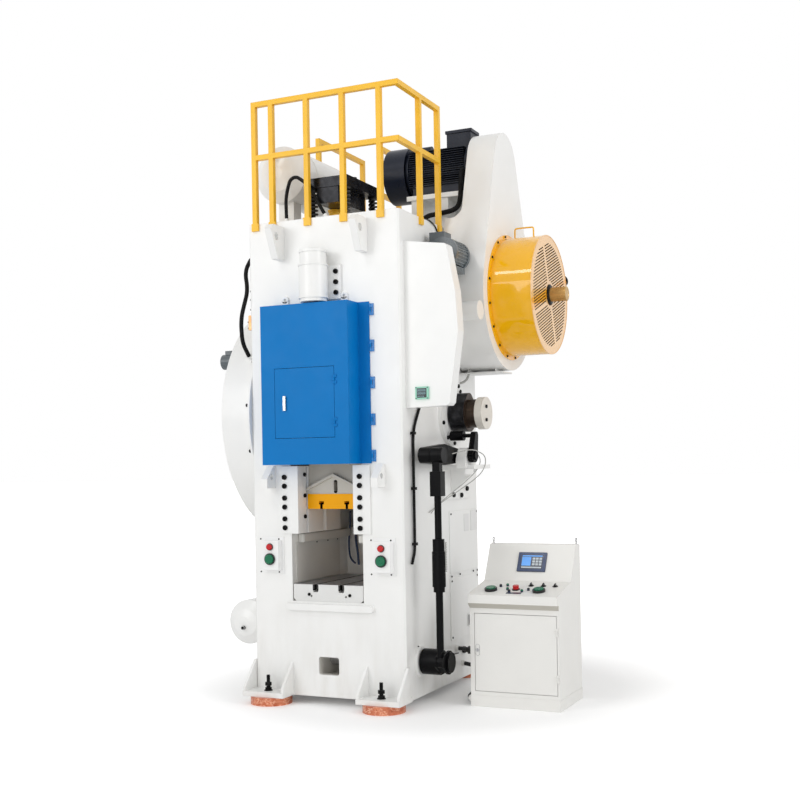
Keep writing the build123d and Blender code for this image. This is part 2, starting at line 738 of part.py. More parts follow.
# Main motor: finned body, end shields, cowl with its grille, terminal box and feet
cowl_end = motor_left + cowl_length
with BuildPart() as main_motor:
    cross_rod(motor_radius - fin_height, (cowl_end - 20, motor_right), motor_depth, motor_height)
    for n in range(fin_count):
        fin = Plane(origin=(cowl_end + 10, at(motor_depth), motor_height), x_dir=(1, 0, 0),
                    z_dir=(0, cos(2 * pi * (n + 0.5) / fin_count), sin(2 * pi * (n + 0.5) / fin_count)))
        with BuildSketch(fin.offset(motor_radius - fin_height - 4)):
            Rectangle(motor_right - cowl_end - 60, 6, align=(Align.MIN, Align.CENTER))
        extrude(amount=fin_height + 4)
    for x in ((cowl_end - 10, cowl_end + 24), (motor_right - 46, motor_right)):
        cross_rod(motor_radius + 8, x, motor_depth, motor_height)
    cross_rod(cowl_radius, (motor_left, cowl_end), motor_depth, motor_height)
    cross_rod(cowl_radius - 6, (motor_left + 6, cowl_end - 20), motor_depth, motor_height, Mode.SUBTRACT)
    cross_rod(cowl_radius - 6, (cowl_end - 12, cowl_end + 1), motor_depth, motor_height, Mode.SUBTRACT)
    cross_rod(motor_radius - 14, (cowl_end - 13, cowl_end + 2), motor_depth, motor_height)
    with BuildSketch(side_plane(motor_left - 1)):
        with Locations((at(motor_depth), motor_height)):
            for row in range(-5, 6):
                width = 2 * sqrt((cowl_radius - 45) ** 2 - (row * 34) ** 2)
                with Locations((0, row * 34)):
                    Rectangle(width, 18)
    extrude(amount=8, mode=Mode.SUBTRACT)
    block((motor_right - 250, motor_right - 30), (motor_depth - 85, motor_depth + 85),
          (motor_height + 150, motor_height + 300))
    block((motor_right - 260, motor_right - 20), (motor_depth - 95, motor_depth + 95),
          (motor_height + 300, motor_height + 325))
    with BuildSketch(side_plane(cowl_end + 40)):
        with Locations((at(motor_depth), motor_height + motor_radius - 10)):
            Circle(48)
    extrude(amount=130)
    for depth in (motor_depth - 155, motor_depth + 155):
        block((cowl_end + 60, motor_right - 70), (depth - 30, depth + 30),
              (motor_height - 230, motor_height - 120))
    cross_rod(30 + running_gap, (motor_left - 1, motor_right + 1), motor_depth, motor_height, Mode.SUBTRACT)
save(main_motor, "main_motor")

# Motor base: plate on legs with a gusset, standing on the deck
base_top = motor_height - 230
with BuildPart() as motor_base:
    block((262, 790), (1060, 1520), (base_top - 16, base_top))
    block((262, 790), (1060, 1068), (base_top - 40, base_top))
    for x in (300, 560):
        for depth in (1075, 1430):
            block((x, x + 80), (depth, depth + 70), (frame_top, base_top - 15))
    for x in (372, 572):
        side_outline((x, x + 10), [(1150, frame_top), (1150, base_top - 15), (1425, base_top - 15),
                                   (1425, base_top - 80), (1230, frame_top)])
save(motor_base, "motor_base")

# Belt guard: teardrop box, wide round the flywheel and stepped in beside the motor
guard_outline = ((pinion_depth, pinion_height, guard_low_radius), (motor_depth, motor_height, guard_top_radius))
guard_inner = tuple((depth, z, radius - guard_sheet) for depth, z, radius in guard_outline)


def guard_recess(margin):
    """Cuts the space beside the motor out of a solid, with room for the sheet."""
    width, height = 600, 1200
    with BuildSketch(face_plane(2100)) as profile:
        with Locations((guard_step + margin - width / 2, guard_ledge - margin + height / 2)):
            RectangleRounded(width, height, 100 + margin)
    extrude(profile.sketch, amount=1700, mode=Mode.SUBTRACT)


with BuildPart() as guard_space:
    side_hull((guard_start + guard_sheet, guard_end - guard_sheet), guard_inner)
    guard_recess(guard_sheet)
with BuildPart() as belt_guard:
    side_hull((guard_start, guard_end), guard_outline)
    guard_recess(0)
    add(guard_space.part, mode=Mode.SUBTRACT)
    cross_rod(shaft_radius + 12, (guard_start - 1, guard_start + 6), pinion_depth, pinion_height, Mode.SUBTRACT)
    cross_rod(52, (guard_step - 1, guard_step + 6), motor_depth, motor_height, Mode.SUBTRACT)
    cross_rod(470, (guard_end - 6, guard_end + 1), pinion_depth, pinion_height, Mode.SUBTRACT)
    for depth, z in ((850, 3500), (850, 3050), (1440, 3600), (1440, 2950)):
        cross_rod(26, (side, guard_start + 1), depth, z)
    block((side, guard_end - 10), (1180, 1400), (pinion_height - guard_low_radius - 26,
                                               pinion_height - guard_low_radius - 14))
    block((guard_start + 60, guard_start + 72), (1200, 1380), (pinion_height - guard_low_radius - 15,
                                                               pinion_height - guard_low_radius + 14))
    block((guard_end - 90, guard_end - 78), (1200, 1380), (pinion_height - guard_low_radius - 15,
                                                           pinion_height - guard_low_radius + 14))
save(belt_guard, "belt_guard")

# Drum guard with rows of slanted slots in its end disc, either side of a spoke
slot_pitch = 22.6
slot_width = 9.5
slot_slant = radians(20)
slot_rim = 430
slot_hub = 118
spoke_half = 20
plain_row = -2
with BuildPart() as drum_guard:
    cross_rod(drum_flange_radius, (guard_end, guard_end + 10), pinion_depth, pinion_height)
    cross_rod(drum_radius, (guard_end, drum_end), pinion_depth, pinion_height)
    cross_rod(drum_radius - 6, (guard_end - 1, drum_end - 6), pinion_depth, pinion_height, Mode.SUBTRACT)
    last_row = int(slot_rim / slot_pitch)
    with BuildSketch(side_plane(drum_end - 7)) as slots:
        for row in range(-last_row, last_row + 1):
            across = row * slot_pitch
            outer = sqrt(slot_rim ** 2 - across ** 2)
            inner = sqrt(max(slot_hub ** 2 - across ** 2, spoke_half ** 2))
            if row == plain_row or outer - inner < 40:
                continue
            for along in (-(inner + outer) / 2, (inner + outer) / 2):
                u = along * cos(slot_slant) - across * sin(slot_slant)
                v = along * sin(slot_slant) + across * cos(slot_slant)
                with Locations((at(pinion_depth) + u, pinion_height + v)):
                    Rectangle(outer - inner, slot_width, rotation=degrees(slot_slant))
    extrude(amount=8, mode=Mode.SUBTRACT)
    cross_rod(spindle_radius + 12, (drum_end - 7, drum_end + 1), pinion_depth, pinion_height, Mode.SUBTRACT)
save(drum_guard, "drum_guard")

# Bracket of the knock-out lever: side plate, shelf, gusset, pedestal and inner boss
with BuildPart() as lever_bracket:
    side_outline((side, side + 22), [(745, bracket_top), (745, bracket_top - bracket_drop),
                                   (1330, bracket_top - bracket_drop), (1330, bracket_top)])
    side_hull((side, side + 22), [(lever_depth, lever_height, 60), (lever_depth - 5, bracket_top - 80, 60),
                                  (lever_depth + 60, bracket_top - 80, 60)])
    block((side, 960), (745, 1120), (bracket_top - 34, bracket_top))
    front_outline((900, 922), [(side, bracket_top - 30), (930, bracket_top - 30),
                               (side, bracket_top - 255)])
    side_hull((815, 895), [(lever_depth, lever_height, 66), (lever_depth - 30, bracket_top + 30, 66),
                           (lever_depth + 60, bracket_top + 30, 66)])
    block((815, 895), (700, 960), (bracket_top - 80, bracket_top - 34), Mode.SUBTRACT)
    cross_rod(60, (side, side + 40), lever_depth, lever_height)
    cross_rod(lever_shaft_radius + running_gap, (side + 20, 896), lever_depth, lever_height, Mode.SUBTRACT)
save(lever_bracket, "lever_bracket")

# Knock-out lever: front arm with its journal, pivot shaft and roller arm
with BuildPart() as knockout_lever:
    cross_rod(lever_shaft_radius, (side + 24, 962), lever_depth, lever_height)
    side_hull((755, 800), [(lever_depth, lever_height, 58), (520, lever_height + 12, 84),
                           (rod_depth, lever_end_height, 62)])
    cross_rod(62, (799, 850), rod_depth, lever_end_height)
    cross_rod(40, (849, 931), rod_depth, lever_end_height)
    cross_rod(62, (930, 949), rod_depth, lever_end_height)
    side_hull((905, 950), [(lever_depth, lever_height, 56), (roller_depth, roller_height, 32)])
    cross_rod(16, (718, 906), roller_depth, roller_height)
    cross_rod(roller_radius, (722, 838), roller_depth, roller_height)
save(knockout_lever, "knockout_lever")

# Pull rod with its coupler and adjusting sleeves
with BuildPart() as pull_rod:
    cross_rod(60, (852, 928), rod_depth, lever_end_height)
    block((rod_x - 30, rod_x + 30), (rod_depth - 30, rod_depth + 30), (lever_end_height - 126, lever_end_height - 48))
    block((rod_x - 44, rod_x + 44), (rod_depth - 46, rod_depth + 46),
          (lever_end_height - 315, lever_end_height - 125))
    for radius, high, low in ((27, 314, 645), (46, 644, 740), (52, 739, 1010), (44, 1009, 1050)):
        post(radius, rod_x, rod_depth, (lever_end_height - low, lever_end_height - high))
    post(28, rod_x, rod_depth, (rod_foot + 25, lever_end_height - 1049))
    cross_rod(44, (873, 907), rod_depth, rod_foot)
    cross_rod(40 + running_gap, (851, 929), rod_depth, lever_end_height, Mode.SUBTRACT)
    cross_rod(26.5, (872, 908), rod_depth, rod_foot, Mode.SUBTRACT)
    for x in ((850, 872.5), (907.5, 930)):
        cross_rod(fork_relief, x, rod_depth, rod_foot, Mode.SUBTRACT)
save(pull_rod, "pull_rod")

# Knock-out shaft: drum and fork outside, ejector arm inside the bed
tip_depth = knock_depth + ejector_arm * cos(radians(knock_rise))
tip_height = knock_height - ejector_arm * sin(radians(knock_rise))
with BuildPart() as knockout_shaft:
    cross_rod(knock_shaft_radius, (-148, drum_start + 1), knock_depth, knock_height)
    cross_rod(100, (drum_start, 856), knock_depth, knock_height)
    for x in ((855, 871), (909, 925)):
        side_hull(x, [(knock_depth, knock_height, 92), (rod_depth, rod_foot, 48)])
    cross_rod(24, (870, 910), rod_depth, rod_foot)
    cross_rod(40, (870, 910), knock_depth, knock_height)
    cross_rod(78, (924, 944), knock_depth, knock_height)
    side_hull((-40, 40), [(knock_depth, knock_height, knock_shaft_radius), (tip_depth, tip_height, 12)])
    cross_rod(ejector_radius, (-24, 24), tip_depth, tip_height)
save(knockout_shaft, "knockout_shaft")

# Knock-out pin with the collar it rests on
with BuildPart() as knockout_pin:
    post(30, 0, slide_centre, (tip_height + ejector_radius + 2, bolster_top - 2))
    post(41, 0, slide_centre, (bed_top - 25, bed_top - 7))
save(knockout_pin, "knockout_pin")

# Balance cylinder on the face, above the blue cover, and its clamp
cylinder_x = -15
cylinder_depth = -118
with BuildPart() as balance_cylinder:
    post(104, cylinder_x, cylinder_depth, (3165, 3568))
    post(110, cylinder_x, cylinder_depth, (3546, 3568))
    post(40, cylinder_x, cylinder_depth, (3560, 3584))
    block((cylinder_x - 60, cylinder_x + 60), (cylinder_depth, 0), (3460, 3540))
save(balance_cylinder, "balance_cylinder")
with BuildPart() as cylinder_clamp:
    post(111, cylinder_x, cylinder_depth, (3190, 3455))
    for z in (3190, 3443):
        post(-cylinder_depth - 1, cylinder_x, cylinder_depth, (z, z + 12))
    block((cylinder_x - 72, cylinder_x + 72), (cylinder_depth, 0), (3190, 3455))
    block((cylinder_x - 186, cylinder_x + 186), (-26, 0), (3190, 3455))
    post(104 + running_gap, cylinder_x, cylinder_depth, (3189, 3456), Mode.SUBTRACT)
save(cylinder_clamp, "cylinder_clamp")

# Front cover: a sheet box open at the back, with a door opening and a hinged flange
door_hinge_depth = -cover_reach - 6
door_hinges = (2223, 2552)
with BuildPart() as front_cover:
    block((cover_left, cover_right), (-cover_reach, -2), (cover_bottom, cover_top))
    block((cover_left + sheet, cover_right - sheet), (-cover_reach + sheet, 0),
          (cover_bottom + sheet, cover_top - sheet), Mode.SUBTRACT)
    block((door_left, door_right), (-cover_reach - 1, -cover_reach + sheet + 1), (door_bottom, door_top),
          Mode.SUBTRACT)
    block((cover_right - 1, cover_flange), (-2 - sheet, -2), (cover_bottom, cover_top))
    for centre in cover_hinges:
        moving_knuckle(cover_hinge_x, cover_hinge_depth, centre, cover_hinge_half, cover_knuckle, 396)
        low, middle, high = hinge_heights(centre, cover_hinge_half)
        for span in (low, high):
            block((cover_hinge_x - cover_knuckle - 2, cover_flange + 1), (-3 - sheet, -1),
                  (span[0] - 1, span[1] + 1), Mode.SUBTRACT)
    for centre in door_hinges:
        fixed_knuckles(door_right, door_hinge_depth, centre, 35, 6, door_right + 20)
save(front_cover, "front_cover")

# Access door in the front cover, and its quarter-turn latch
latch_x = -247
latch_height = door_bottom + 289
with BuildPart() as cover_door:
    block((door_left + door_gap, door_right - door_gap), (-cover_reach, -cover_reach + sheet),
          (door_bottom + door_gap, door_top - door_gap))
    for centre in door_hinges:
        moving_knuckle(door_right, door_hinge_depth, centre, 35, 6, door_right - 22)
    face_rod(8 + running_gap, latch_x, latch_height, (-cover_reach - 1, -cover_reach + sheet + 1), Mode.SUBTRACT)
save(cover_door, "cover_door")
with BuildPart() as cover_latch:
    face_rod(8, latch_x, latch_height, (-cover_reach - 14, -cover_reach + sheet + 8))
    block((latch_x - 12, latch_x + 12), (-cover_reach - 16, -cover_reach - 1), (latch_height - 72, latch_height + 42))
    block((latch_x - 84, latch_x + 12), (-cover_reach + sheet + 1, -cover_reach + sheet + 7),
          (latch_height - 11, latch_height + 11))
save(cover_latch, "cover_latch")


def press_button(plane, radius, lift, height, stem):
    """A round cap on a stem: the plane's normal points out of the surface."""
    with BuildSketch(plane.offset(-stem)) as shank:
        Circle(stem_radius)
    extrude(shank.sketch, amount=stem + lift + 1)
    with BuildSketch(plane.offset(lift)) as cap:
        Circle(radius)
    extrude(cap.sketch, amount=height)


def bezel(plane, outer, inner, height):
    """A ring round a cap, standing on the surface."""
    with BuildSketch(plane) as ring:
        Circle(outer)
        Circle(inner, mode=Mode.SUBTRACT)
    extrude(ring.sketch, amount=height)


def stem_bore(plane, reach):
    """The blind bore of a button's stem."""
    with BuildSketch(plane.offset(-reach)) as bore:
        Circle(stem_radius + running_gap)
    extrude(bore.sketch, amount=reach + 1, mode=Mode.SUBTRACT)


def station_plane(x, z):
    """The face of a hand station at a point."""
    return Plane(origin=(x, at(-station_reach), z), x_dir=(1, 0, 0), z_dir=(0, -1, 0))


# Hand stations beside the die space
with BuildPart() as hand_stations:
    for x in station_xs:
        block((x - 98, x + 98), (-6, 0), (station_height - 145, station_height + 145))
        block((x - 76, x + 76), (-station_reach, -5), (station_height - 118, station_height + 118))
        bezel(station_plane(x, palm_height), palm_radius + 9, palm_radius + 1, 14)
        bezel(station_plane(x, stop_height), stop_radius + 5, stop_radius + 1, 6)
        for z in (palm_height, stop_height):
            stem_bore(station_plane(x, z), button_bore)
save(hand_stations, "hand_stations")
for hand, x in (("left", station_xs[0]), ("right", station_xs[1])):
    with BuildPart() as palm_button:
        press_button(station_plane(x, palm_height), palm_radius, 8, 20, button_bore - 8)
        chamfer(palm_button.faces().sort_by(Axis.Y)[0].edges(), 6)
    save(palm_button, f"palm_button_{hand}")
    with BuildPart() as stop_button:
        press_button(station_plane(x, stop_height), stop_radius, 8, 18, button_bore - 8)
        chamfer(stop_button.faces().sort_by(Axis.Y)[0].edges(), 4)
    save(stop_button, f"stop_button_{hand}")

# Side guard over the right front corner, with the stroke counter on its face
with BuildPart() as side_guard:
    front_outline((80, 200), [(side, 3608), (1010, 3561), (1026, 3545), (1092, 3198), (1111, 2895), (1034, 2352),
                              (1014, 2332), (side, 2322)])
save(side_guard, "side_guard")
with BuildPart() as stroke_counter:
    block((756, 864), (62, 80), (2384, 2480))
save(stroke_counter, "stroke_counter")

# Adjusting motor on its shelf at the right, and the small lubrication motor at the left
lube_height = crank_height + 475
with BuildPart() as auxiliary_motors:
    face_rod(112, 852, 3560, (440, 700))
    face_rod(122, 852, 3560, (424, 456))
    face_rod(122, 852, 3560, (676, 708))
    block((side, 940), (470, 670), (3408, 3456))
    block((side, side + 16), (460, 680), (3300, 3456))
    block((720, 850), (470, 610), (3640, 3732))
    cross_rod(64, (cover_x[0] - 132, cover_x[0] - 20), 240, lube_height)
    cross_rod(74, (cover_x[0] - 22, cover_x[0]), 240, lube_height)
    block((cover_x[0] - 100, cover_x[0] - 40), (205, 275), (lube_height + 55, lube_height + 91))
save(auxiliary_motors, "auxiliary_motors")

# Guard rails of the deck
half_tube = tube / 2
with BuildPart() as guard_rail:
    left, right, rear = -620, 690, 805
    runs = (rail_middle, rail_top)
    for z in runs:
        block((left, right), (-half_tube, half_tube), (z - half_tube, z + half_tube))
        block((right - tube, right), (-half_tube, rear), (z - half_tube, z + half_tube))
        block((-side, -side + tube), (1150, frame_depth + 510), (z - half_tube, z + half_tube))
        block((-290, -290 + tube), (1650, frame_depth + 510), (z - half_tube, z + half_tube))
    for x in (-600, -440, -120, 200, 520):
        block((x - half_tube, x + half_tube), (-half_tube, half_tube), (deck, rail_top))
        block((x - 30, x + 30), (-half_tube, 0), (deck - 60, deck + 1))
    for depth in (410, 785):
        block((right - tube, right), (depth - half_tube, depth + half_tube), (deck, rail_top))
        block((side, right), (depth - 30, depth + 30), (deck - 60, deck + 1))
    for depth in (1170, 1640, 2050):
        block((-side, -side + tube), (depth - half_tube, depth + half_tube), (deck, rail_top))
    for depth in (1670, 2050):
        block((-290, -290 + tube), (depth - half_tube, depth + half_tube), (deck, rail_top))
save(guard_rail, "guard_rail")

# Spring plate over the deck on four packs of disc springs
plate_x = (-166, 194)
plate_y = (80, 650)
spring_height = 4100
with BuildPart() as spring_plate:
    block(plate_x, plate_y, (spring_height, 4180))
    block((plate_x[0] + 84, plate_x[1] - 84), (plate_y[0] + 8, plate_y[1] - 90), (3975, spring_height + 1))
    post(26, 120, 340, (4180, 4215))
save(spring_plate, "spring_plate")
turns = 7
turn_height = (spring_height - deck) / turns
with BuildPart() as balance_springs:
    for x in (plate_x[0] + 34, plate_x[1] - 34):
        for depth in (plate_y[0] + 36, plate_y[1] - 44):
            post(22, x, depth, (deck, spring_height))
            for turn in range(turns):
                middle = deck + (turn + 0.5) * turn_height
                post(42, x, depth, (middle - 8, middle + 8))
save(balance_springs, "balance_springs")

# Air tanks: one on a column over the deck, one low on the left side
tank_radius = 232
with BuildPart() as deck_tank:
    with BuildSketch(Plane.YZ.offset(-500)):
        with BuildLine():
            Polyline((at(150), 4290), (at(150), 4290 + 60), (at(175), 4290 + 150), (at(245), 4290 + tank_radius),
                     (at(1000), 4290 + tank_radius), (at(1070), 4290 + 150), (at(1095), 4290 + 60),
                     (at(1095), 4290), (at(150), 4290))
        make_face()
    revolve(axis=Axis((-500, 0, 4290), (0, 1, 0)))
    block((-560, -417), (300, 420), (deck, 4290 - 180))
    block((-560, -440), (820, 940), (deck, 4290 - 180))
    face_rod(tank_radius + 5, -500, 4290, (430, 446))
    face_rod(20, -500, 4430, (120, 200))
save(deck_tank, "deck_tank")
with BuildPart() as side_tank:
    with BuildSketch(Plane.YZ.offset(-862)):
        with BuildLine():
            Polyline((at(130), 600), (at(130), 650), (at(148), 710), (at(200), 785), (at(1050), 785),
                     (at(1102), 710), (at(1120), 650), (at(1120), 600), (at(130), 600))
        make_face()
    revolve(axis=Axis((-862, 0, 600), (0, 1, 0)))
    for depth in (300, 900):
        block((-862, -side), (depth, depth + 60), (560, 640))
        block((-side - 12, -side), (depth - 30, depth + 90), (480, 720))
    face_rod(16, -862, 560, (108, 160))
save(side_tank, "side_tank")

# Console cabinet: sloped desk and screen panel over a hollow base with a door opening
console_profile = [(console_front, 0), (console_front, 764), (desk_edge, 806), (desk_edge, desk_front),
                   (desk_depth, desk_back), (slope_top, console_height), (console_back, console_height),
                   (console_back, 0)]
desk_lean = degrees(atan2(desk_back - desk_front, desk_depth - desk_edge))
slope_lean = degrees(atan2(console_height - desk_back, slope_top - desk_depth))


def leaning_plane(x, depth, z, lean):
    """A plane through a point, its sketch up the slope and its normal out of the console."""
    return Plane(origin=(x, at(depth), z), x_dir=(1, 0, 0),
                 z_dir=(0, -sin(radians(lean)), cos(radians(lean))))


def desk_plane(x, depth):
    """The desk surface at a point."""
    return leaning_plane(x, depth, desk_front + (depth - desk_edge) * tan(radians(desk_lean)), desk_lean)


with BuildPart() as console_cabinet:
    side_outline((console_left, console_right), console_profile)
    block((console_left - 3, console_right + 3), (console_front - 3, console_back), (0, plinth_top))
    block((console_left + console_sheet, console_right - console_sheet),
          (console_front + console_sheet, console_back - console_sheet), (plinth_top + 4, 760), Mode.SUBTRACT)
    block(console_door_x, (console_front - 1, console_front + console_sheet + 1), console_door_z, Mode.SUBTRACT)
    for x in (console_left + 12, console_right - 12):
        block((x - 3, x + 3), (880, 920), (console_height - 1, console_height + 30))
        cross_rod(10, (x - 4, x + 4), 900, console_height + 16, Mode.SUBTRACT)
    for z in (250, 600):
        fixed_knuckles(console_door_x[1], console_front - 6, z, 30, 6, console_door_x[1] + 14)
    for points in (conduit_a_route, conduit_b_route):
        gland(points, gland_radius, 45)
    for x, depth in console_palms:
        bezel(desk_plane(x, depth), palm_radius + 9, palm_radius + 1, 14)
        stem_bore(desk_plane(x, depth), button_bore)
    bezel(desk_plane(*console_stop_at), stop_radius + 5, stop_radius + 1, 6)
    stem_bore(desk_plane(*console_stop_at), button_bore)
    for x, depth in selectors:
        bezel(desk_plane(x, depth), 20, 15, 4)
        stem_bore(desk_plane(x, depth), button_bore)
save(console_cabinet, "console_cabinet")

# Console door and its latch
console_latch_at = (1112, 440)
with BuildPart() as console_door:
    block((console_door_x[0] + door_gap, console_door_x[1] - door_gap),
          (console_front, console_front + console_sheet),
          (console_door_z[0] + door_gap, console_door_z[1] - door_gap))
    for z in (250, 600):
        moving_knuckle(console_door_x[1], console_front - 6, z, 30, 6, console_door_x[1] - 20)
    with BuildSketch(face_plane(console_front + 1)):
        with Locations(console_latch_at):
            SlotOverall(92, 34, rotation=90)
    extrude(amount=4)
    face_rod(8 + running_gap, *console_latch_at, (console_front - 4, console_front + console_sheet + 1),
             Mode.SUBTRACT)
save(console_door, "console_door")
with BuildPart() as console_latch:
    x, z = console_latch_at
    face_rod(8, x, z, (console_front - 8, console_front + console_sheet + 8))
    face_rod(13, x, z, (console_front - 10, console_front - 3.5))
    block((x - 3, x + 3), (console_front - 17, console_front - 9), (z - 12, z + 12))
    block((x - 20, x + 10), (console_front + console_sheet + 1, console_front + console_sheet + 7),
          (z - 11, z + 11))
save(console_latch, "console_latch")

# Screen and small lamps of the console
screen_plane = leaning_plane(1432, desk_depth + 74, desk_back + 74 * tan(radians(slope_lean)), slope_lean)
with BuildPart() as console_panel:
    with BuildSketch(screen_plane):
        RectangleRounded(235, 165, 6)
    extrude(amount=9)
    with BuildSketch(screen_plane.offset(9)):
        Rectangle(176, 118)
    extrude(amount=-2, mode=Mode.SUBTRACT)
    for x, depth in ((1330, 470), (1300, 560), (1460, 430), (1500, 470), (1360, 420), (1250, 540)):
        with BuildSketch(desk_plane(x, depth)):
            Circle(11)
        extrude(amount=14)
    with BuildSketch(desk_plane(1405, 395)):
        RectangleRounded(120, 34, 4)
    extrude(amount=2)
save(console_panel, "console_panel")

# Console buttons and selector switches
for hand, spot in (("left", console_palms[0]), ("right", console_palms[1])):
    with BuildPart() as console_palm:
        press_button(desk_plane(*spot), palm_radius, 8, 20, button_bore - 8)
    save(console_palm, f"console_palm_{hand}")
with BuildPart() as console_stop:
    press_button(desk_plane(*console_stop_at), stop_radius, 8, 26, button_bore - 8)
save(console_stop, "console_stop")
for number, spot in enumerate(selectors, 1):
    with BuildPart() as selector:
        press_button(desk_plane(*spot), 14, 0.5, 10, button_bore - 8)
        with BuildSketch(desk_plane(*spot).offset(10)):
            Rectangle(9, 30)
        extrude(amount=14)
    save(selector, f"selector_{number}")


# Hoses and conduit held along the frame, with their clips
with BuildPart() as pipes:
    tube_route(route((side + 15, 300, 2335), (side + 15, 165, 2150), (side + 15, 165, 1215), (side + 15, 108, 1120)),
               wire_hose_radius)
    tube_route(air_hose_route, air_hose_radius)
    tube_route(deck_hose_route, deck_hose_radius)
    tube_route(die_hose_route, wire_hose_radius)
for z in (2130, 1700, 1270):
    with BuildPart() as clip:
        block((side, side + 32), (143, 187), (z - 11, z + 11))
    pipes.part += clip.part
save(pipes, "pipes")

# Bolts and nuts
gib_bolt_heights = (1802, 1731, 1636, 1564, 1470, 1399)
with BuildPart() as fasteners:
    for x in (-366, 306):
        for z in gib_bolt_heights:
            face_rod(19, x, z, (-gib_stand - 14, -gib_stand))
    for hand in (-1, 1):
        for depth in (anchor_depth, frame_depth - anchor_depth):
            post(anchor_radius, hand * anchor_x, depth, (pad_height, pad_height + foot_plate + 78))
            post(32, hand * anchor_x, depth, (pad_height + foot_plate, pad_height + foot_plate + 30))
    for n in range(10):
        angle = 2 * pi * (n + 0.5) / 10
        for hand in (-1, 1):
            x = sorted((hand * (side + 30), hand * (side + 43)))
            cross_rod(15, x, crank_depth + 243 * cos(angle), crank_height + 243 * sin(angle))
    for x in (cylinder_x - 150, cylinder_x + 150):
        for z in (3240, 3322, 3405):
            face_rod(18, x, z, (-42, -26))
    for depth, drop in ((948, 124), (948, 249), (1120, 256), (1247, 203)):
        cross_rod(19, (side + 22, side + 38), depth, bracket_top - drop)
    for n in range(16):
        angle = 2 * pi * (n + 0.5) / 16
        cross_rod(9, (guard_end + 10, guard_end + 18), pinion_depth + 512 * cos(angle),
                  pinion_height + 512 * sin(angle))
    for n in range(12):
        angle = radians(132 + 236 * n / 11)
        cross_rod(13, (cover_x[0] + gear_cover_depth - 34, cover_x[0] + gear_cover_depth - 20),
                  crank_depth + 1000 * cos(angle), crank_height + 1000 * sin(angle))
save(fasteners, "fasteners")

# Free conduits from the side of the frame to the console
for name, points in (("conduit_a", conduit_a_route), ("conduit_b", conduit_b_route)):
    with BuildPart() as conduit:
        tube_route(points, conduit_radius)
    print(name, [round(radius) for radius in bend_radii(points)], round(conduit.part.volume))
    save(conduit, name)
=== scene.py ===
"""Knuckle-joint stamping press and its console, dressed for a studio photograph.

Everything is in metres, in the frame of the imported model: +X is the operator's right, +Y runs to the
back and +Z is up. Depths are counted back from the press's front face.
"""
from itertools import product
from math import atan, cos, pi, radians, sin

import bmesh
import bpy
from mathutils import Matrix, Vector


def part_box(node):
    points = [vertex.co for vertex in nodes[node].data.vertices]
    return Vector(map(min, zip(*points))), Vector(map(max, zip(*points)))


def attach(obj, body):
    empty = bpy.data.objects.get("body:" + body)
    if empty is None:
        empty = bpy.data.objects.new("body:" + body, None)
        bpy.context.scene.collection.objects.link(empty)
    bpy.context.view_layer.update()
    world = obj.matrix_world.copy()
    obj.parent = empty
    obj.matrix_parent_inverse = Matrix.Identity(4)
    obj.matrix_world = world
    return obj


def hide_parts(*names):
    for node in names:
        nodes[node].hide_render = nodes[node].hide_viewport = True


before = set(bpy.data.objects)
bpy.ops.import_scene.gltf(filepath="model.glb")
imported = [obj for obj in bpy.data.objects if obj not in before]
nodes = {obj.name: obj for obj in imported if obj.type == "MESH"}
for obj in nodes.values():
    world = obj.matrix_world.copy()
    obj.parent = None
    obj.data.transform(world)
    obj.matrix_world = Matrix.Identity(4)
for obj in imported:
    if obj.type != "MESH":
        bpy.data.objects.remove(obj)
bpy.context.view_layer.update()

# Y of the front face, X of the right side and Z of the deck
FRONT = -0.78
SIDE = 0.67
DECK = 3.85
FORWARD, RIGHT, LEFT, UP = (0, -1, 0), (1, 0, 0), (-1, 0, 0), (0, 0, 1)


def at(depth):
    """Y of a point this far behind the front face."""
    return FRONT + depth


def srgb(red, green, blue):
    """A colour given in bytes, as the shader's linear values."""
    linear = []
    for channel in (red, green, blue):
        value = channel / 255
        linear.append(value / 12.92 if value <= 0.04045 else ((value + 0.055) / 1.055) ** 2.4)
    return (*linear, 1)


def shaded(colour, factor, lift=0.0):
    """A linear colour made darker or lighter."""
    return (*(min(1, channel * factor + lift) for channel in colour[:3]), 1)


WHITE = srgb(243, 243, 241)
CONSOLE_WHITE = srgb(236, 235, 231)
BLUE = srgb(0, 118, 192)
YELLOW = srgb(255, 190, 0)
RAIL_YELLOW = srgb(252, 196, 48)
PALE_ORANGE = srgb(247, 196, 128)
PLATE_YELLOW = srgb(255, 176, 0)
BLACK = srgb(10, 10, 12)
MOTOR_BLUE = srgb(24, 31, 47)
BRONZE = srgb(214, 176, 112)
RED = srgb(196, 24, 30)
GREEN = srgb(0, 108, 72)
STEEL = srgb(150, 150, 152)
SKY_LIGHT = 0.6


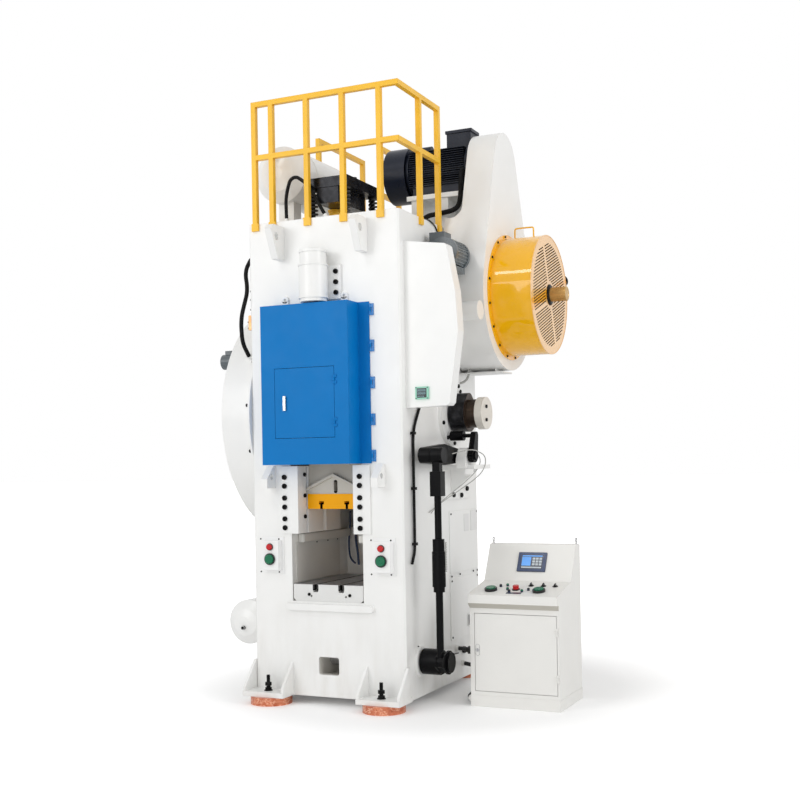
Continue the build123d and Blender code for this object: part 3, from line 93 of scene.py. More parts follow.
class Finish:
    """A node material on one Principled shader."""

    def __init__(self, name, roughness=0.4, metallic=0.0, coat=0.0, shine=0.5):
        self.material = bpy.data.materials.new(name)
        self.material.use_nodes = True
        self.tree = self.material.node_tree
        self.shader = self.tree.nodes["Principled BSDF"]
        self.shader.inputs["Roughness"].default_value = roughness
        self.shader.inputs["Metallic"].default_value = metallic
        self.shader.inputs["Coat Weight"].default_value = coat
        self.shader.inputs["Specular IOR Level"].default_value = shine
        self.shader.inputs["Coat Roughness"].default_value = 0.12
        self.place = self.node("ShaderNodeTexCoord").outputs["Object"]
        self.bumps = None

    def node(self, kind, **settings):
        made = self.tree.nodes.new(kind)
        for key, value in settings.items():
            setattr(made, key, value)
        return made

    def feed(self, socket, value):
        """Links a socket or sets its plain value."""
        if isinstance(value, bpy.types.NodeSocket):
            self.tree.links.new(value, socket)
        else:
            socket.default_value = value

    def math(self, operation, first, second=0.0, clamp=False):
        made = self.node("ShaderNodeMath", operation=operation, use_clamp=clamp)
        self.feed(made.inputs[0], first)
        self.feed(made.inputs[1], second)
        return made.outputs[0]

    def noise(self, scale, detail=3.0, roughness=0.55, stretch=(1, 1, 1)):
        mapping = self.node("ShaderNodeMapping")
        mapping.inputs["Scale"].default_value = stretch
        self.feed(mapping.inputs["Vector"], self.place)
        made = self.node("ShaderNodeTexNoise")
        self.feed(made.inputs["Vector"], mapping.outputs[0])
        made.inputs["Scale"].default_value = scale
        made.inputs["Detail"].default_value = detail
        made.inputs["Roughness"].default_value = roughness
        return made.outputs["Fac"]

    def ramp(self, value, low, high, bottom=0.0, top=1.0):
        made = self.node("ShaderNodeMapRange")
        self.feed(made.inputs["Value"], value)
        made.inputs["From Min"].default_value = low
        made.inputs["From Max"].default_value = high
        made.inputs["To Min"].default_value = bottom
        made.inputs["To Max"].default_value = top
        return made.outputs["Result"]

    def mix(self, factor, first, second):
        made = self.node("ShaderNodeMix", data_type="RGBA")
        self.feed(made.inputs["Factor"], factor)
        self.feed(made.inputs["A"], first)
        self.feed(made.inputs["B"], second)
        return made.outputs["Result"]

    def coordinate(self, axis):
        parts = self.node("ShaderNodeSeparateXYZ")
        self.feed(parts.inputs[0], self.place)
        return parts.outputs[axis]

    def between(self, axis, low, high):
        """1 where a coordinate lies between two values, and 0 elsewhere."""
        value = self.coordinate(axis)
        return self.both(self.math("GREATER_THAN", value, low), self.math("LESS_THAN", value, high))

    def both(self, first, second):
        return self.math("MULTIPLY", first, second)

    def either(self, first, second):
        return self.math("MAXIMUM", first, second)

    def in_box(self, x, y, z):
        """1 inside a box, given by its range on each axis, and 0 elsewhere."""
        return self.both(self.both(self.between(0, *x), self.between(2, *z)), self.between(1, *y))

    def distance(self, first, centre_first, second, centre_second):
        """Distance from an axis, measured in the plane of two coordinates."""
        across = self.math("SUBTRACT", self.coordinate(first), centre_first)
        along = self.math("SUBTRACT", self.coordinate(second), centre_second)
        return self.math("SQRT", self.math("ADD", self.both(across, across), self.both(along, along)))

    def mottled(self, colour, amount=0.03, scale=2.5):
        """The colour with slow, slight changes of depth, as in sprayed paint."""
        return self.mix(self.ramp(self.noise(scale, 4), 0.35, 0.65), shaded(colour, 1 - amount), colour)

    def colour(self, value):
        self.feed(self.shader.inputs["Base Color"], value)

    def roughness(self, low, high, scale=9.0):
        self.feed(self.shader.inputs["Roughness"], self.ramp(self.noise(scale, 4), 0.3, 0.7, low, high))

    def relief(self, made):
        """Adds a bump or bevel node behind those before it."""
        if self.bumps is not None:
            self.feed(made.inputs["Normal"], self.bumps)
        self.bumps = made.outputs["Normal"]
        self.feed(self.shader.inputs["Normal"], self.bumps)

    def bump(self, height, strength, distance=0.001):
        made = self.node("ShaderNodeBump")
        made.inputs["Strength"].default_value = strength
        made.inputs["Distance"].default_value = distance
        self.feed(made.inputs["Height"], height)
        self.relief(made)

    def peel(self, strength=0.10):
        """The fine orange peel of sprayed enamel."""
        self.bump(self.noise(260, 2), strength, 0.0006)

    def rounded(self, radius=0.003):
        """Softens the sharp edges, as blasting and paint do."""
        made = self.node("ShaderNodeBevel", samples=4)
        made.inputs["Radius"].default_value = radius
        self.relief(made)


def enamel(name, colour, gloss=0.34, peel=0.10, wear=0.03, coat=0.25, shine=0.5):
    """Sprayed machine enamel: orange peel and slow colour changes."""
    made = Finish(name, coat=coat, shine=shine)
    made.colour(made.mottled(colour, wear))
    made.roughness(gloss - 0.05, gloss + 0.09)
    made.rounded()
    made.peel(peel)
    return made


def bare_metal(name, colour, gloss=0.3, brushed=(1, 1, 40)):
    """Machined metal: fine tool marks along one direction and an uneven oil film."""
    made = Finish(name, metallic=0.95)
    marks = made.noise(30, 5, stretch=brushed)
    made.colour(made.mix(made.ramp(marks, 0.3, 0.7), shaded(colour, 0.72), colour))
    made.roughness(gloss - 0.08, gloss + 0.16, 14)
    made.rounded(0.0015)
    made.bump(marks, 0.12, 0.0005)
    return made


def casting(name, colour, gloss=0.5, metallic=0.35, shine=0.3):
    """Oily cast or blackened steel with a fine grain."""
    made = Finish(name, metallic=metallic, shine=shine)
    made.colour(made.mix(made.ramp(made.noise(24, 5), 0.45, 0.75), colour, shaded(colour, 1.7, 0.012)))
    made.roughness(gloss - 0.14, gloss + 0.12, 11)
    made.rounded(0.002)
    made.bump(made.noise(420, 3), 0.25, 0.0006)
    return made


def moulded(name, colour, gloss=0.28):
    """Glossy moulded plastic with a faint moulding grain."""
    made = Finish(name, coat=0.2, shine=0.35)
    made.colour(made.mottled(colour, 0.08, 30))
    made.roughness(gloss - 0.05, gloss + 0.1, 40)
    made.bump(made.noise(900, 2), 0.08, 0.0003)
    return made


def dress(material, *names):
    """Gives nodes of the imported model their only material."""
    for name in names:
        slots = nodes[name].data.materials
        slots.clear()
        slots.append(material)


# Finishes
white = enamel("white_enamel", WHITE)
blue = enamel("blue_powder_coat", BLUE, gloss=0.42, peel=0.16, wear=0.05, coat=0.0, shine=0.16)
rail = enamel("rail_enamel", RAIL_YELLOW, gloss=0.32, wear=0.10, coat=0.1, shine=0.3)
console_coat = enamel("console_powder_coat", CONSOLE_WHITE, gloss=0.42, peel=0.2)
black_enamel = enamel("black_enamel", BLACK, gloss=0.3, peel=0.12, wear=0.35, coat=0.0, shine=0.1)
steel = bare_metal("ground_steel", STEEL)
plated = bare_metal("plated_steel", srgb(205, 206, 208), gloss=0.22)
forged = casting("oiled_forging", srgb(70, 70, 72))
blackened = casting("blackened_steel", srgb(12, 12, 13), gloss=0.38, metallic=0.2, shine=0.12)
rubber = casting("black_rubber", srgb(15, 15, 16), gloss=0.6, metallic=0.0, shine=0.15)
red = moulded("red_plastic", RED)
green = moulded("green_plastic", GREEN)
black_plastic = moulded("black_plastic", srgb(20, 20, 22))

# Frame: white with dust low down, painted shade as a grey inside the die space and the window, blue on the
# hinge knuckles
frame_paint = Finish("frame_enamel", coat=0.25)
die_space = frame_paint.in_box((-0.3175, 0.3175), (at(0.002), at(1.41)), (0.80, 2.90))
window = frame_paint.in_box((-0.0905, 0.0905), (at(0.012), at(0.5)), (0.20, 0.48))
knuckles = frame_paint.in_box((0.404, 0.449), (FRONT - 0.2, FRONT - 0.0002), (1.90, 3.15))
low_down = frame_paint.ramp(frame_paint.coordinate(2), 0.06, 0.9, 0.35, 0.0)
streaks = frame_paint.ramp(frame_paint.noise(3.0, 5, stretch=(3, 3, 0.6)), 0.42, 0.75)
dusty = frame_paint.both(low_down, streaks)
shade = frame_paint.mix(dusty, frame_paint.mottled(WHITE), srgb(205, 200, 190))
# Painted shade: a grey inside the die space and the window, where shadow falls on the white paint
shade = frame_paint.mix(die_space, shade, frame_paint.mottled(srgb(232, 231, 227), 0.12, 4))
shade = frame_paint.mix(window, shade, srgb(226, 223, 216))
shade = frame_paint.mix(knuckles, shade, BLUE)
frame_paint.colour(shade)
frame_paint.roughness(0.29, 0.44)
frame_paint.rounded(0.004)
frame_paint.peel()
dress(frame_paint.material, "frame")

dress(white.material, "gibs", "side_covers", "gear_cover", "belt_guard", "lever_bracket",
      "balance_cylinder", "cylinder_clamp", "side_guard", "deck_tank", "side_tank", "motor_base")
dress(blue.material, "front_cover", "cover_door")
dress(rail.material, "guard_rail")
dress(console_coat.material, "console_door")
dress(black_enamel.material, "knockout_lever", "pull_rod")

# Knock-out shaft: black outside the frame and bright inside it
shaft_paint = Finish("shaft_finish", shine=0.1)
bare = shaft_paint.between(0, -1, SIDE - 0.01)
marks = shaft_paint.noise(30, 5, stretch=(30, 1, 1))
bright = shaft_paint.mix(shaft_paint.ramp(marks, 0.3, 0.7), srgb(168, 168, 170), srgb(206, 206, 208))
shaft_paint.colour(shaft_paint.mix(bare, shaft_paint.mottled(BLACK, 0.35), bright))
shaft_paint.feed(shaft_paint.shader.inputs["Metallic"], shaft_paint.both(bare, 0.8))
shaft_paint.roughness(0.26, 0.4)
shaft_paint.rounded(0.002)
dress(shaft_paint.material, "knockout_shaft")

# Slide: warm grey, with painted shade, near black, in the slot in its front
slide_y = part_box("slide")[0].y
slide_coat = Finish("slide_enamel", coat=0.15, shine=0.4)
slot_shade = slide_coat.in_box((0.0003, 0.0337), (slide_y + 0.0186, slide_y + 0.10), (1.667, 1.777))
slide_coat.colour(slide_coat.mix(slot_shade, slide_coat.mottled(srgb(196, 191, 180), 0.08), srgb(26, 25, 24)))
slide_coat.roughness(0.36, 0.5)
slide_coat.rounded(0.003)
dress(slide_coat.material, "slide")

dress(steel.material, "eccentric_shaft", "knockout_pin", "motor_rotor")
dress(plated.material, "cover_latch", "console_latch")
dress(forged.material, "upper_block", "upper_link", "lower_link", "eccentric_rods", "bull_gear", "flywheel")
dress(blackened.material, "fasteners", "balance_springs")
dress(rubber.material, "drive_belts", "pipes", "conduit_a", "conduit_b")
dress(red.material, "stop_button_left", "stop_button_right", "console_stop")
dress(green.material, "palm_button_left", "palm_button_right", "console_palm_left", "console_palm_right")
dress(black_plastic.material, "selector_1", "selector_2", "selector_3")

# T-slots, at the same places in the bolster and in the slide plate; painted shade goes inside them
T_SLOTS = ((-0.138, -0.086), (0.091, 0.143))


def slots_of(finish, front, low, high):
    """1 inside the slots that start at a front face, between two heights, where painted shade goes."""
    return finish.either(*(finish.in_box(x, (front, 1.5), (low, high)) for x in T_SLOTS))


# Bolster: painted front edge, ground top and painted shade in the slots
bolster = Finish("bolster_steel", metallic=0.6)
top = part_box("bolster")[1].z
ground = bolster.between(2, top - 0.001, top + 0.01)
marks = bolster.noise(40, 5, stretch=(1, 30, 1))
land = bolster.mix(bolster.ramp(marks, 0.3, 0.7), srgb(150, 150, 152), srgb(184, 184, 186))
slot_shade = slots_of(bolster, at(0.002), top - 0.048, top - 0.0008)
shade = bolster.mix(ground, bolster.mottled(srgb(228, 228, 226), 0.04), land)
# Painted shade, near black, inside the slots
bolster.colour(bolster.mix(slot_shade, shade, srgb(24, 24, 25)))
bolster.feed(bolster.shader.inputs["Metallic"], bolster.both(ground, 0.75))
bolster.roughness(0.26, 0.42)
bolster.rounded(0.002)
dress(bolster.material, "bolster")

# Slide plate: yellow with painted shade in the slots
plate = Finish("slide_plate_enamel", shine=0.2)
plate_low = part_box("slide_plate")[0]
slot_shade = slots_of(plate, plate_low.y + 0.001, plate_low.z + 0.0008, plate_low.z + 0.046)
# Painted shade, dark brown, inside the slots
plate.colour(plate.mix(slot_shade, plate.mottled(PLATE_YELLOW, 0.08), srgb(30, 20, 8)))
plate.roughness(0.27, 0.4)
plate.rounded(0.002)
plate.peel()
dress(plate.material, "slide_plate")

# Pads in copper-coloured film
film = Finish("copper_film", metallic=0.55, coat=0.5)
crease = film.math("ABSOLUTE", film.math("SUBTRACT", film.noise(13, 4, 0.6, stretch=(1, 1, 1.7)), 0.5))
crease = film.ramp(crease, 0.0, 0.022, 1.0, 0.0)
shade = film.mix(film.ramp(film.noise(16, 5), 0.35, 0.7), srgb(186, 92, 58), srgb(224, 138, 100))
film.colour(film.mix(crease, shade, srgb(250, 200, 168)))
film.roughness(0.25, 0.5, 20)
film.bump(film.noise(22, 6, 0.7), 0.5, 0.006)
dress(film.material, "foot_pads")

# Drum guard: yellow drum and flange, pale end disc with a deeper orange band across it that is a painted
# reflection, and painted shade in the hollow behind the disc
low_corner, high_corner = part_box("drum_guard")
drum_y, drum_z = (low_corner.y + high_corner.y) / 2, (low_corner.z + high_corner.z) / 2
drum = Finish("drum_enamel", coat=1.0, shine=0.1)
drum.shader.inputs["Coat Roughness"].default_value = 0.04
disc = drum.between(0, high_corner.x - 0.0035, high_corner.x + 0.01)
facing = drum.node("ShaderNodeSeparateXYZ")
drum.feed(facing.inputs[0], drum.node("ShaderNodeNewGeometry").outputs["Normal"])
sheet = drum.both(disc, drum.math("GREATER_THAN", facing.outputs[0], 0.5))
# Painted reflection: a deeper orange band, narrowing towards the back, across the end disc
lean = radians(20)
rise = drum.math("SUBTRACT", drum.coordinate(2), drum_z)
run = drum.math("SUBTRACT", drum.coordinate(1), drum_y)
across = drum.math("SUBTRACT", drum.both(rise, cos(lean)), drum.both(run, sin(lean)))
upper_edge = drum.ramp(drum.coordinate(1), drum_y - 0.45, drum_y + 0.45, 0.085, 0.025)
painted_reflection_band = drum.both(drum.math("GREATER_THAN", across, -0.012), drum.math("LESS_THAN", across, upper_edge))
# Painted shade: dark brown on the slot walls and inside the drum, behind the end disc
hollow_shade = drum.math("LESS_THAN", drum.distance(1, drum_y, 2, drum_z), 0.4885)
hollow_shade = drum.both(hollow_shade, drum.math("SUBTRACT", 1.0, sheet))
shade = drum.mix(disc, drum.mottled(YELLOW, 0.05), drum.mottled(PALE_ORANGE, 0.05))
shade = drum.mix(drum.both(sheet, painted_reflection_band), shade, srgb(246, 168, 28))
shade = drum.mix(hollow_shade, shade, srgb(58, 42, 18))
drum.colour(shade)
drum.roughness(0.22, 0.34)
drum.rounded(0.003)
drum.peel(0.08)
dress(drum.material, "drum_guard")

# Pinion shaft: bronze-coloured spindle end outside the drum
spindle = bare_metal("bronze_spindle", BRONZE, gloss=0.3, brushed=(30, 1, 1))
dress(spindle.material, "pinion_shaft")

# Knock-out cam: black rings, a brown hub and a pale end disc
cam_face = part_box("knockout_cam")[1].x
cam = Finish("cam_steel", metallic=0.5, shine=0.3)
end = cam.between(0, cam_face - 0.0755, cam_face - 0.0115)
hub = cam.between(0, cam_face - 0.162, cam_face - 0.0755)
shade = cam.mix(cam.ramp(cam.noise(20, 5), 0.4, 0.75), srgb(24, 24, 26), srgb(62, 62, 66))
shade = cam.mix(hub, shade, cam.mix(cam.noise(9, 4), srgb(34, 28, 26), srgb(84, 68, 56)))
shade = cam.mix(end, shade, cam.mottled(srgb(226, 221, 212), 0.06, 8))
cam.colour(shade)
cam.feed(cam.shader.inputs["Metallic"], cam.math("SUBTRACT", 0.6, cam.both(end, 0.5)))
cam.roughness(0.28, 0.5, 12)
cam.rounded(0.003)
dress(cam.material, "knockout_cam")

# Motors
motor = enamel("motor_enamel", MOTOR_BLUE, gloss=0.3, wear=0.3, coat=0.0, shine=0.25)
dress(motor.material, "main_motor")
small_motor = enamel("small_motor_enamel", srgb(92, 100, 105), gloss=0.3, wear=0.2)
dress(small_motor.material, "auxiliary_motors")

# Spring plate: dark and oily
spring_plate = casting("oily_plate", srgb(24, 25, 30), gloss=0.3)
dress(spring_plate.material, "spring_plate")

# Hand stations: white boxes with black rings
station = Finish("station_enamel", coat=0.2)
station_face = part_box("hand_stations")[0].y
ring = station.between(1, station_face - 0.01, station_face + 0.0135)
station.colour(station.mix(ring, station.mottled(srgb(244, 244, 243), 0.02), srgb(20, 20, 22)))
station.roughness(0.3, 0.42)
station.rounded(0.002)
dress(station.material, "hand_stations")

# Stroke counter: pale green bezel; its window and digits follow below
counter = moulded("counter_bezel", srgb(150, 214, 190))
dress(counter.material, "stroke_counter")

# Console: powder coat, with painted shade in the recess under the desk
cabinet = Finish("cabinet_powder_coat", coat=0.1)
under_desk_shade = cabinet.both(cabinet.between(2, 0.7645, 0.8055), cabinet.between(1, -2, at(0.3715)))
cabinet.colour(cabinet.mix(under_desk_shade, cabinet.mottled(CONSOLE_WHITE, 0.03), srgb(188, 184, 174)))
cabinet.roughness(0.37, 0.51)
cabinet.rounded()
cabinet.peel(0.2)
dress(cabinet.material, "console_cabinet")
panel = moulded("console_fittings", srgb(44, 52, 74))
dress(panel.material, "console_panel")


def piece(name, material):
    """A new mesh piece and the bmesh to build it in; finish_piece ends it."""
    mesh = bpy.data.meshes.new(name)
    made = bpy.data.objects.new(name, mesh)
    bpy.context.scene.collection.objects.link(made)
    mesh.materials.append(material)
    return made, bmesh.new()


def finish_piece(made, bm, body="frame"):
    """Closes a mesh piece, with sharp edges kept sharp, and seats it on its body."""
    bmesh.ops.recalc_face_normals(bm, faces=bm.faces)
    for face in bm.faces:
        face.smooth = True
    for edge in bm.edges:
        if len(edge.link_faces) == 2 and edge.calc_face_angle(0) > radians(30):
            edge.smooth = False
    bm.to_mesh(made.data)
    bm.free()
    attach(made, body)


def turned(bm, place, axis, profile, segments=24):
    """A turned form: (distance along the axis, radius) points revolved round it."""
    frame_of = Vector(axis).normalized().to_track_quat("Z", "Y").to_matrix()
    closed = profile[0] == profile[-1]
    rings = []
    for along, radius in profile[:-1] if closed else profile:
        if radius <= 1e-6:
            rings.append([bm.verts.new(Vector(place) + frame_of @ Vector((0, 0, along)))])
            continue
        rings.append([bm.verts.new(Vector(place) + frame_of @ Vector(
            (radius * cos(2 * pi * n / segments), radius * sin(2 * pi * n / segments), along)))
            for n in range(segments)])
    following = rings[1:] + rings[:1] if closed else rings[1:]
    for low, high in zip(rings, following):
        for n in range(segments):
            m = (n + 1) % segments
            corners = [low[n % len(low)], low[m % len(low)], high[m % len(high)], high[n % len(high)]]
            corners = list(dict.fromkeys(corners))
            if len(corners) > 2:
                bm.faces.new(corners)
    for ring in () if closed else (rings[0], rings[-1]):
        if len(ring) > 2:
            bm.faces.new(ring)


def slab(bm, low, high, bevel=0.0, turn=None):
    """A box between two corners with its edges broken; turn is a matrix for its points."""
    corners = [Vector(corner) for corner in product(*zip(low, high))]
    verts = [bm.verts.new(turn @ corner if turn else corner) for corner in corners]
    faces = [bm.faces.new([verts[n] for n in loop]) for loop in
             ((0, 1, 3, 2), (4, 6, 7, 5), (0, 4, 5, 1), (2, 3, 7, 6), (0, 2, 6, 4), (1, 5, 7, 3))]
    if bevel:
        edges = list({edge for face in faces for edge in face.edges})
        bmesh.ops.bevel(bm, geom=edges, offset=bevel, segments=2, affect="EDGES")


def bridge(bm, low, high):
    """Faces between two closed loops of as many points."""
    for n in range(len(low)):
        m = (n + 1) % len(low)
        bm.faces.new((low[n], low[m], high[m], high[n]))


def socket_head(bm, place, axis, radius, height):
    """A cap screw: straight rim, broken edge and a hexagon socket sunk into the head."""
    frame_of = Vector(axis).normalized().to_track_quat("Z", "Y").to_matrix()
    count = 24
    angles = [2 * pi * n / count for n in range(count)]
    key = radius * 0.52
    hexagon = [key * cos(pi / 6) / cos(angle % (pi / 3) - pi / 6) for angle in angles]
    loops = []
    for sizes, along in (([radius] * count, 0), ([radius] * count, height * 0.86),
                         ([radius * 0.9] * count, height), (hexagon, height), (hexagon, height * 0.35)):
        points = [Vector((size * cos(angle), size * sin(angle), along))
                  for size, angle in zip(sizes, angles)]
        loops.append([bm.verts.new(Vector(place) + frame_of @ point) for point in points])
    for low, high in zip(loops, loops[1:]):
        bridge(bm, low, high)
    bm.faces.new(loops[0])
    bm.faces.new(loops[-1])


def anchor_bolt(bm, base):
    """A threaded stud with its washer, nut and lock nut, standing on a base point."""
    turned(bm, base, UP, ((0, 0.034), (0.046, 0.034), (0.047, 0.032)), 28)
    turned(bm, base, UP, ((0.046, 0.030), (0.064, 0.030), (0.066, 0.027)), 6)
    turned(bm, base, UP, ((0.066, 0.0165), (0.082, 0.0165)), 20)
    turned(bm, base, UP, ((0.080, 0.025), (0.082, 0.0295), (0.104, 0.0295), (0.107, 0.025)), 6)
    pitch, crest, root = 0.0065, 0.0155, 0.0128
    thread = [(0.106, crest)]
    for turn in range(8):
        thread += [(0.108 + turn * pitch, crest), (0.111 + turn * pitch, root)]
    turned(bm, base, UP, (*thread, (0.162, crest), (0.165, 0.012)), 20)


def small_screw(bm, place, axis, radius=0.006):
    """A domed screw head."""
    turned(bm, place, axis, ((0, radius), (radius * 0.45, radius * 0.9), (radius * 0.75, radius * 0.45),
                             (radius * 0.8, 0)), 14)


def wire(name, points, radius, material, body="frame"):
    """A round bar, hose or thin cable along a smooth line."""
    data = bpy.data.curves.new(name, "CURVE")
    data.dimensions = "3D"
    data.bevel_depth = radius
    data.bevel_resolution = 5
    data.resolution_u = 10
    line = data.splines.new("NURBS")
    line.points.add(len(points) - 1)
    for point, place in zip(line.points, points):
        point.co = (*place, 1)
    line.order_u = 3
    line.use_endpoint_u = True
    data.use_fill_caps = True
    data.materials.append(material)
    made = bpy.data.objects.new(name, data)
    bpy.context.scene.collection.objects.link(made)
    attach(made, body)
    return made


# Free conduits from the frame to the console: the points are their route in the source
conduit = Finish("corrugated_conduit")
along = conduit.node("ShaderNodeSeparateXYZ")
conduit.feed(along.inputs[0], conduit.node("ShaderNodeTexCoord").outputs["UV"])
rib = conduit.math("SINE", conduit.both(along.outputs[0], 900))
worn = conduit.ramp(conduit.noise(14, 5), 0.4, 0.7)
conduit.colour(conduit.mix(worn, srgb(26, 26, 28), srgb(58, 58, 60)))
conduit.roughness(0.38, 0.62, 20)
conduit.bump(rib, 0.7, 0.003)
CONDUITS = {
    "conduit_a": (1.452, (
        (0.695, 1.003, 0.337), (0.9, 1.012, 0.332), (1.04, 1.16, 0.19), (1.11, 1.35, 0.062),
        (1.29, 1.44, 0.024), (1.48, 1.35, 0.04), (1.56, 1.165, 0.09), (1.562, 0.983, 0.12))),
    "conduit_b": (0.925, (
        (0.695, 1.131, 0.19), (0.86, 1.125, 0.17), (0.96, 1.01, 0.11), (0.96, 0.85, 0.05),
        (0.915, 0.62, 0.021), (1.025, 0.44, 0.05))),
}
for name, (length, route) in CONDUITS.items():
    points = [(x, at(depth), z) for x, depth, z in route]
    hose = wire(name + "_hose", points, 0.017, conduit.material)
    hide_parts(name)


def islands(node):
    """Boxes of the separate solids of a node."""
    bm = bmesh.new()
    bm.from_mesh(nodes[node].data)
    bmesh.ops.remove_doubles(bm, verts=bm.verts, dist=0.00001)
    left = set(bm.verts)
    boxes = []
    while left:
        reached = [left.pop()]
        for vert in reached:
            for edge in vert.link_edges:
                other = edge.other_vert(vert)
                if other in left:
                    left.remove(other)
                    reached.append(other)
        places = [vert.co.copy() for vert in reached]
        low = Vector([min(place[axis] for place in places) for axis in range(3)])
        high = Vector([max(place[axis] for place in places) for axis in range(3)])
        boxes.append((low, high))
    bm.free()
    return sorted(boxes, key=lambda box: tuple(round(value, 3) for value in (*box[0], *box[1])))


# Cap screws and anchor bolts, one for each plain head of the source
screws, screw_mesh = piece("cap_screws", blackened.material)
for low, high in islands("fasteners"):
    middle, size = (low + high) / 2, high - low
    if size.z > 0.1:
        anchor_bolt(screw_mesh, (middle.x, middle.y, low.z))
        continue
    axis = min(range(3), key=lambda n: size[n])
    outward = Vector((0, 0, 0))
    outward[axis] = -1 if axis == 1 or middle.x < 0 else 1
    foot = middle.copy()
    foot[axis] = high[axis] if outward[axis] < 0 else low[axis]
    socket_head(screw_mesh, foot, outward, 1.08 * max(size) / 2, size[axis])
finish_piece(screws, screw_mesh)
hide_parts("fasteners")

# Cap screws over the plain heads on the cam's end disc
disc_screws, disc_mesh = piece("cam_disc_screws", blackened.material)
for z in (2.245, 2.355):
    socket_head(disc_mesh, (cam_face - 0.0125, at(0.95), z), RIGHT, 0.0145, 0.0129)
finish_piece(disc_screws, disc_mesh, "crank")

# Coil springs under the spring plate, each with its guide rod, in place of the node's springs
spring_coat = enamel("spring_enamel", srgb(20, 20, 22), gloss=0.32, wear=0.4)
for number, (low, high) in enumerate(islands("balance_springs")):
    radius, turns, bar, steps = 0.031, 9, 0.0095, 108
    middle = (low + high) / 2
    height = high.z - low.z
    points = []
    for step in range(steps + 1):
        share = step / steps
        eased = min(max((share - 0.08) / 0.84, 0), 1)
        angle = 2 * pi * turns * share
        points.append((middle.x + radius * cos(angle), middle.y + radius * sin(angle),
                       low.z + bar + (height - 2 * bar) * eased))
    wire(f"coil_spring_{number}", points, bar, spring_coat.material)
    guide, guide_mesh = piece(f"spring_rod_{number}", blackened.material)
    turned(guide_mesh, (middle.x, middle.y, low.z), UP,
           ((0, 0.044), (0.012, 0.044), (0.014, 0.016), (height - 0.014, 0.016), (height - 0.012, 0.044),
            (height, 0.044)))
    finish_piece(guide, guide_mesh)
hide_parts("balance_springs")

# Yellow cylinder and bracket under the spring plate
lift, lift_mesh = piece("deck_cylinder", rail.material)
turned(lift_mesh, (-0.065, at(0.36), DECK), UP,
       ((0, 0.075), (0.02, 0.075), (0.022, 0.052), (0.105, 0.052), (0.107, 0.06), (0.122, 0.06),
        (0.124, 0.03), (0.128, 0.03)), 32)
for x in (-0.24, 0.04):
    slab(lift_mesh, (x, at(0.12), DECK), (x + 0.05, at(0.20), DECK + 0.038), 0.004)
finish_piece(lift, lift_mesh)

# Fins of the main motor and the duct from its terminal box
motor_low, motor_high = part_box("main_motor")
motor_y, motor_z = (motor_low.y + motor_high.y) / 2, 4.415
fin_pitch, fin_reach, motor_radius = 0.0185, 0.203, 0.174
fins, fin_mesh = piece("motor_fins", motor.material)
for row in range(-8, 9):
    rise = row * fin_pitch
    z = motor_z + rise
    root = (motor_radius ** 2 - rise ** 2) ** 0.5 - 0.004
    for hand in (-1, 1):
        near, far = sorted((motor_y + hand * root, motor_y + hand * fin_reach))
        slab(fin_mesh, (0.272, near, z - 0.0028), (motor_high.x - 0.05, far, z + 0.0028), 0.001)
finish_piece(fins, fin_mesh)
duct = ((0.775, 1.075, 4.36), (0.775, 1.032, 4.30), (0.775, 1.030, 4.13), (0.745, 1.030, 4.025),
        (0.60, 1.032, 4.005), (0.44, 1.05, 4.0), (0.40, 1.10, 3.98))
wire("motor_duct", [(x, at(depth), z) for x, depth, z in duct], 0.021, rubber.material)

# Fins of the small motor on the right side
fin_paint = enamel("small_motor_fin_enamel", srgb(146, 154, 158), gloss=0.3, wear=0.2)
ribs, rib_mesh = piece("small_motor_fins", fin_paint.material)
fin_count = 30
for n in range(fin_count):
    turn = Matrix.Translation((0.852, 0, 3.56)) @ Matrix.Rotation(2 * pi * n / fin_count, 4, "Y")
    slab(rib_mesh, (0.108, at(0.455), -0.0022), (0.1215, at(0.665), 0.0022), 0.0008, turn)
finish_piece(ribs, rib_mesh)

# Trim, rim, handle and breather hose of the drum guard
trim, trim_mesh = piece("drum_trim", blackened.material)
turned(trim_mesh, (high_corner.x - 0.0006, drum_y, drum_z), RIGHT,
       ((0, 0.088), (0.006, 0.088), (0.014, 0.078), (0.016, 0.066)), 40)
finish_piece(trim, trim_mesh)
drum_rim, drum_rim_mesh = piece("drum_rim", drum.material)
turned(drum_rim_mesh, (high_corner.x - 0.012, drum_y, drum_z), RIGHT,
       ((0, 0.4952), (0.0005, 0.4975), (0.013, 0.4975), (0.0145, 0.4955), (0.0145, 0.489), (0.0122, 0.489),
        (0, 0.4952)), 96)
finish_piece(drum_rim, drum_rim_mesh)
drum_top = drum_z + 0.495
handle = ((1.142, -0.004), (1.142, 0.06), (1.144, 0.085), (1.165, 0.088), (1.285, 0.088), (1.306, 0.085),
          (1.308, 0.06), (1.308, -0.004))
wire("drum_handle", [(x, drum_y, drum_top + lift) for x, lift in handle], 0.0065, rail.material)
hose = ((1.36, 0.43, 0.235), (1.40, 0.52, 0.235), (1.42, 0.58, 0.20), (1.40, 0.58, 0.15),
        (1.36, 0.47, 0.14))
wire("drum_hose", [(x, drum_y + back, drum_z + lift) for x, back, lift in hose], 0.014, rubber.material)

# Turned end of the spindle
cap, cap_mesh = piece("spindle_end", spindle.material)
turned(cap_mesh, (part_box("pinion_shaft")[1].x - 0.003, drum_y, drum_z), RIGHT,
       ((0, 0.0606), (0.002, 0.0606), (0.0045, 0.057), (0.0045, 0.044), (0.0025, 0.042), (0.0025, 0.012),
        (0.001, 0.010), (0.001, 0)), 48)
finish_piece(cap, cap_mesh, "pinion")

